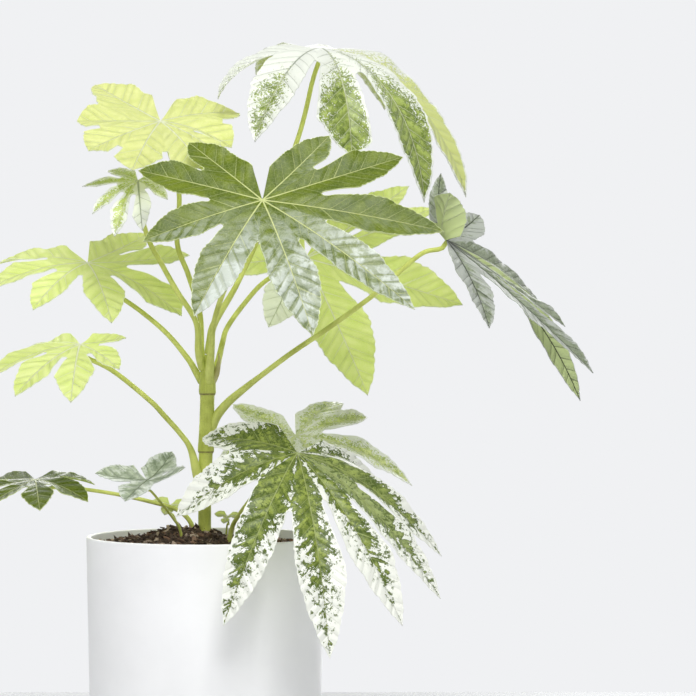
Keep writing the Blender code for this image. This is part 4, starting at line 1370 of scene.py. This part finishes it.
@dataclass
class Pot:
    """The matt white pot: near-cylindrical, with a thin wall and a softly rounded lip.

    Radii, heights and widths are in metres and edge_angle in degrees. A face less than near from
    an end belongs to that end.
    """

    rim: float = 0.107
    foot: float = 0.103
    height: float = 0.200
    wall: float = 0.004
    floor: float = 0.006
    edge: float = 0.0012
    edge_steps: int = 5
    edge_angle: float = 40.0
    around: int = 160
    near: float = 0.001

    def build(self) -> bpy.types.Object:
        """Shape the pot from a cylinder and finish it."""
        deselect()
        bpy.ops.mesh.primitive_cylinder_add(vertices=self.around, radius=self.rim,
                                            depth=self.height, location=(0, 0, self.height / 2))
        pot = bpy.context.view_layer.objects.active
        pot.name = "planter"
        bpy.ops.object.transform_apply(location=True)
        self.choose(pot, lambda face: face.center.z < self.near)
        bpy.ops.object.mode_set(mode="EDIT")
        bpy.ops.transform.resize(value=(self.foot / self.rim, self.foot / self.rim, 1.0))
        bpy.ops.object.mode_set(mode="OBJECT")
        self.choose(pot, lambda face: face.center.z > self.height - self.near)
        bpy.ops.object.mode_set(mode="EDIT")
        bpy.ops.mesh.inset(thickness=self.wall)
        depth = self.height - self.floor
        bpy.ops.mesh.extrude_region_move(TRANSFORM_OT_translate={"value": (0, 0, -depth)})
        narrow = (self.foot - self.wall) / (self.rim - self.wall)
        bpy.ops.transform.resize(value=(narrow, narrow, 1.0))
        bpy.ops.object.mode_set(mode="OBJECT")
        bevel = pot.modifiers.new("soft_edges", "BEVEL")
        bevel.width = self.edge
        bevel.segments = self.edge_steps
        bevel.limit_method = "ANGLE"
        bevel.angle_limit = math.radians(self.edge_angle)
        apply_modifiers(pot)
        bpy.ops.object.shade_smooth_by_angle(angle=math.radians(POT_ANGLE))
        pot.data.materials.append(PotLook().material("pot_matt_white"))
        settle(pot, "pot", "pot")
        return pot

    @staticmethod
    def choose(obj: bpy.types.Object, wanted: Callable[[bpy.types.MeshPolygon], bool]) -> None:
        """Select the faces for which a test holds, and only them.

        Args:
            obj: the mesh object.
            wanted: the test.
        """
        select_only(obj)
        bpy.ops.object.mode_set(mode="EDIT")
        bpy.ops.mesh.select_mode(type="FACE")
        bpy.ops.mesh.select_all(action="DESELECT")
        bpy.ops.object.mode_set(mode="OBJECT")
        for face in obj.data.polygons:
            face.select = wanted(face)


@dataclass(frozen=True)
class SoilLook:
    """The finish of the mix: near black crumbs, brown fibres and reddish and pale bark.

    A chip's tone turns it to bark between the marks of reddish, and to pale between those of palest.
    """

    dark: Colour = (0.030, 0.020, 0.014)
    crumb: Colour = (0.21, 0.135, 0.090)
    bark: Colour = (0.34, 0.190, 0.120)
    pale: Colour = (0.62, 0.48, 0.37)
    fibre: Colour = (0.03, 0.02, 0.015)
    crumbs: Pattern = Pattern(420.0, 4.0, 0.7, low=0.35, high=0.7)
    fibres: Pattern = Pattern(1500.0, 3.0, 0.7)
    fibrous: float = 0.3
    reddish: tuple[float, float] = (0.50, 0.90)
    palest: tuple[float, float] = (0.80, 0.84)
    roughness: float = 0.92
    relief: float = 0.0006

    def material(self, name: str) -> bpy.types.Material:
        """Make the material.

        Args:
            name: the material's name.

        Returns:
            The finished material.
        """
        sheet = Sheet(name)
        place = sheet.place()
        tone = sheet.attribute("tone")
        crumbs = sheet.pattern(place, self.crumbs)
        fibres = sheet.noise(place, self.fibres)
        colour = sheet.mix(crumbs, self.dark, self.crumb)
        colour = sheet.mix(sheet.between(tone, *self.reddish), colour, self.bark)
        colour = sheet.mix(sheet.between(tone, *self.palest), colour, self.pale)
        colour = sheet.mix(sheet.times(fibres, self.fibrous), colour, self.fibre)
        sheet.put(sheet.shader, "Base Color", colour)
        sheet.put(sheet.shader, "Roughness", self.roughness)
        sheet.bump(sheet.plus(crumbs, fibres), self.relief)
        return sheet.material


@dataclass
class Soil:
    """The potting mix: a lumpy mound with bark chips and crumbs lying on it.

    The bed's height is a mound, lumps made of waves, in radians a metre, and crumbs, as pairs of a
    height and a noise's scale. The chips have one of the half sizes, are stretched along their
    three axes within the limits of stretches, made uneven by jag and tipped by tilt, in radians,
    and their middles lie over the bed by the share lift of their size.
    """

    radius: float = 0.1024
    foot: float = 0.0985
    edge_level: float = 0.190
    mound: float = 0.016
    mound_radius: float = 0.050
    mound_x: float = -0.020
    mound_fall: float = 1.1
    lump: float = 0.0011
    waves: tuple[float, float, float] = (310.0, 270.0, 520.0)
    phases: tuple[float, float] = (1.3, 0.4)
    crumbs: tuple[tuple[float, float], ...] = ((0.0016, 220.0), (0.0009, 620.0))
    noise_level: float = 0.3
    low: float = 0.0065
    cells: int = 150
    chips: int = 2600
    spread: float = 0.985
    sizes: tuple[float, ...] = (0.0011, 0.0016, 0.0022, 0.0033)
    stretches: tuple[tuple[float, float], ...] = ((0.9, 2.2), (0.5, 1.0), (0.2, 0.7))
    jag: float = 0.32
    tilt: float = 0.45
    lift: float = 0.25
    seed: int = 7

    def rise(self, x: float, y: float) -> float:
        """Work out the mound with its lumps and crumbs.

        Args:
            x: how far right of the pot's middle a place is.
            y: how far behind it.

        Returns:
            The soil's height there over its edge level.
        """
        reach = math.hypot(x - self.mound_x, y) / self.mound_radius
        mound = self.mound * math.exp(-reach * reach * self.mound_fall)
        across, deep, slant = self.waves
        lump = (math.sin(x * across + self.phases[0]) * math.sin(y * deep + self.phases[1])
                + math.sin((x + y) * slant))
        place = Vector((x, y, self.noise_level))
        crumbs = sum(height * noise.noise(place * scale) for height, scale in self.crumbs)
        return mound + self.lump * lump + crumbs

    def bed(self) -> bpy.types.Object:
        """Shape the soil's body from a grid bent to a disc and drawn down into the pot."""
        deselect()
        bpy.ops.mesh.primitive_grid_add(x_subdivisions=self.cells, y_subdivisions=self.cells, size=2.0)
        bed = bpy.context.view_layer.objects.active
        for vertex in bed.data.vertices:
            x, y = vertex.co.x, vertex.co.y
            round_x = x * math.sqrt(1.0 - 0.5 * y * y) * self.radius
            round_y = y * math.sqrt(1.0 - 0.5 * x * x) * self.radius
            vertex.co = (round_x, round_y, self.edge_level + self.rise(round_x, round_y))
        select_only(bed)
        bpy.ops.object.mode_set(mode="EDIT")
        bpy.ops.mesh.select_mode(type="EDGE")
        bpy.ops.mesh.select_all(action="SELECT")
        bpy.ops.mesh.region_to_loop()
        drop = (0.0, 0.0, self.low - self.edge_level)
        bpy.ops.mesh.extrude_edges_move(TRANSFORM_OT_translate={"value": drop})
        bpy.ops.object.mode_set(mode="OBJECT")
        shrink = self.foot / self.radius
        for vertex in bed.data.vertices:
            if vertex.select:
                vertex.co = (vertex.co.x * shrink, vertex.co.y * shrink, self.low)
        bpy.ops.object.mode_set(mode="EDIT")
        bpy.ops.mesh.edge_face_add()
        bpy.ops.object.mode_set(mode="OBJECT")
        merge_and_face_out(bed)
        return bed

    def chip(self, draw: random.Random, ball: np.ndarray) -> tuple[np.ndarray, float] | None:
        """Shape one chip from a ball's points and lay it on the bed.

        Args:
            draw: what the draws come from.
            ball: the points of a ball of radius 1.

        Returns:
            The chip's points and its tone, or None where it would reach over the bed's edge.
        """
        reach = self.radius * self.spread * math.sqrt(draw.random())
        angle = draw.uniform(0.0, math.tau)
        x, y = reach * math.cos(angle), reach * math.sin(angle)
        size = draw.choice(self.sizes)
        stretch = np.array([draw.uniform(*limits) for limits in self.stretches])
        jag = 1.0 + self.jag * np.array([[draw.uniform(-1, 1)] for _ in ball])
        turn, tip = draw.uniform(0.0, math.tau), draw.gauss(0.0, self.tilt)
        spin = np.array(Matrix.Rotation(turn, 3, "Z") @ Matrix.Rotation(tip, 3, "Y"))
        shape = (ball * jag * stretch * size) @ spin.T
        if np.hypot(x + shape[:, 0], y + shape[:, 1]).max() > self.radius:
            return None
        level = self.edge_level + self.rise(x, y) + self.lift * size
        return shape + (x, y, level), draw.random()

    def scatter(self) -> bpy.types.Object:
        """Lay chips and crumbs on the bed: flat bark flakes, splinters and rounder crumbs."""
        draw = random.Random(self.seed)
        deselect()
        bpy.ops.mesh.primitive_ico_sphere_add(subdivisions=1, radius=1.0)
        sphere = bpy.context.view_layer.objects.active
        ball = np.array([vertex.co for vertex in sphere.data.vertices])
        faces = np.array([face.vertices[:] for face in sphere.data.polygons])
        bpy.data.objects.remove(sphere, do_unlink=True)
        drawn = [self.chip(draw, ball) for _ in range(self.chips)]
        kept = [chip for chip in drawn if chip is not None]
        points = np.concatenate([shape for shape, _ in kept])
        corners = np.concatenate([faces + len(ball) * number for number in range(len(kept))])
        tones = np.repeat([tone for _, tone in kept], len(ball))
        mesh = bpy.data.meshes.new("soil_chips")
        mesh.from_pydata(points.tolist(), [], corners.tolist())
        tone = mesh.attributes.new("tone", "FLOAT", "POINT")
        tone.data.foreach_set("value", tones.astype(np.float32))
        chips = bpy.data.objects.new("soil_chips", mesh)
        bpy.context.scene.collection.objects.link(chips)
        return chips

    def build(self) -> bpy.types.Object:
        """Make the bed with its chips as one piece."""
        bed, chips = self.bed(), self.scatter()
        select_only(bed, chips)
        bpy.ops.object.join()
        soil = bpy.context.view_layer.objects.active
        soil.name = "potting_soil"
        soil.data.materials.append(SoilLook().material("potting_mix"))
        bpy.ops.object.shade_smooth_by_angle(angle=math.radians(POT_ANGLE))
        settle(soil, "soil", "soil")
        return soil


@dataclass(frozen=True)
class Lamp:
    """A soft light: its name, its place, how wide and tall it is and its power in watts."""

    name: str
    place: Point
    size: tuple[float, float]
    power: float


@dataclass
class Studio:
    """The camera, the plain pale floor and the soft light round the plant.

    The world's colour goes from before to above and then to behind, as fades say: an axis and the
    marks between which it turns. The lamps face aim.
    """

    eye: Point = (0.128, -2.3, 0.369)
    lens: float = 132.18
    sensor: float = 36.0
    behind: Colour = (0.872, 0.880, 0.896)
    before: Colour = (0.42, 0.43, 0.45)
    above: Colour = (0.20, 0.20, 0.21)
    fades: tuple[tuple[int, float, float], ...] = ((2, 0.1, 0.9), (1, 0.0, 0.8))
    floor_colour: Colour = (0.80, 0.805, 0.815)
    floor_roughness: float = 0.9
    floor_specular: float = 0.1
    floor_width: float = 2.4
    floor_front: float = -1.0
    floor_back: float = 0.44
    lamps: tuple[Lamp, ...] = (
        Lamp("key", (-0.9, -1.6, 1.7), (1.0, 1.0), 10.0),
        Lamp("sheen", (0.26, -1.32, 2.05), (0.8, 1.5), 44.0),
        Lamp("rear", (0.2, 2.0, 0.5), (1.5, 1.5), 30.0))
    aim: Point = (0.08, 0.0, 0.40)

    def build(self) -> None:
        """Make the camera, floor, world and lights."""
        camera = bpy.data.cameras.new("camera")
        camera.lens = self.lens
        camera.sensor_width = self.sensor
        eye = bpy.data.objects.new("camera", camera)
        eye.location = self.eye
        eye.rotation_euler = (math.radians(90), 0.0, 0.0)
        bpy.context.scene.collection.objects.link(eye)
        bpy.context.scene.camera = eye
        bpy.context.scene.view_settings.view_transform = "Standard"
        self.floor()
        self.world()
        for lamp in self.lamps:
            self.hang(lamp)

    def floor(self) -> None:
        """Lay the plain pale top under the pot's foot; its back edge shows behind the pot."""
        deselect()
        middle = 0.5 * (self.floor_back + self.floor_front)
        bpy.ops.mesh.primitive_plane_add(size=1.0, location=(0.0, middle, 0.0))
        floor = bpy.context.view_layer.objects.active
        floor.name = "floor"
        floor.scale = (self.floor_width, self.floor_back - self.floor_front, 1.0)
        sheet = Sheet("floor_pale")
        sheet.put(sheet.shader, "Base Color", self.floor_colour)
        sheet.put(sheet.shader, "Roughness", self.floor_roughness)
        sheet.put(sheet.shader, "Specular IOR Level", self.floor_specular)
        floor.data.materials.append(sheet.material)

    def world(self) -> None:
        """Surround the plant with a near white light: bright behind it, softer in front."""
        world = bpy.data.worlds.new("soft_white")
        world.use_nodes = True
        nodes, links = world.node_tree.nodes, world.node_tree.links
        way = nodes.new("ShaderNodeSeparateXYZ")
        links.new(nodes.new("ShaderNodeTexCoord").outputs["Generated"], way.inputs[0])
        colour = None
        for (axis, low, high), tint in zip(self.fades, (self.above, self.behind)):
            share = nodes.new("ShaderNodeMapRange")
            share.inputs[1].default_value = low
            share.inputs[2].default_value = high
            links.new(way.outputs[axis], share.inputs[0])
            mix = nodes.new("ShaderNodeMix")
            mix.data_type = "RGBA"
            links.new(share.outputs[0], mix.inputs[0])
            mix.inputs[6].default_value = (*self.before, 1.0)
            if colour is not None:
                links.new(colour, mix.inputs[6])
            mix.inputs[7].default_value = (*tint, 1.0)
            colour = mix.outputs[2]
        links.new(colour, nodes["Background"].inputs[0])
        bpy.context.scene.world = world

    def hang(self, lamp: Lamp) -> None:
        """Hang a soft light that faces the middle of the plant.

        Args:
            lamp: the light.
        """
        light = bpy.data.lights.new(lamp.name, "AREA")
        light.shape = "RECTANGLE"
        light.size, light.size_y = lamp.size
        light.energy = lamp.power
        obj = bpy.data.objects.new(lamp.name, light)
        obj.location = lamp.place
        aim = Vector(self.aim) - Vector(lamp.place)
        obj.rotation_euler = aim.to_track_quat("-Z", "Y").to_euler()
        obj.visible_camera = False
        bpy.context.scene.collection.objects.link(obj)


def main() -> None:
    """Build the plant piece by piece and set up the studio."""
    logging.basicConfig(level=logging.INFO, format="%(name)s: %(message)s")
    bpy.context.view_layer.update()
    stalk_finish = STALK_LOOK.material("stalk_green")
    for leaf in LEAVES:
        leaf.build_blade()
        leaf.build_stalk(stalk_finish)
    Stem().build()
    Pot().build()
    Soil().build()
    Studio().build()


if __name__ == "__main__":
    main()
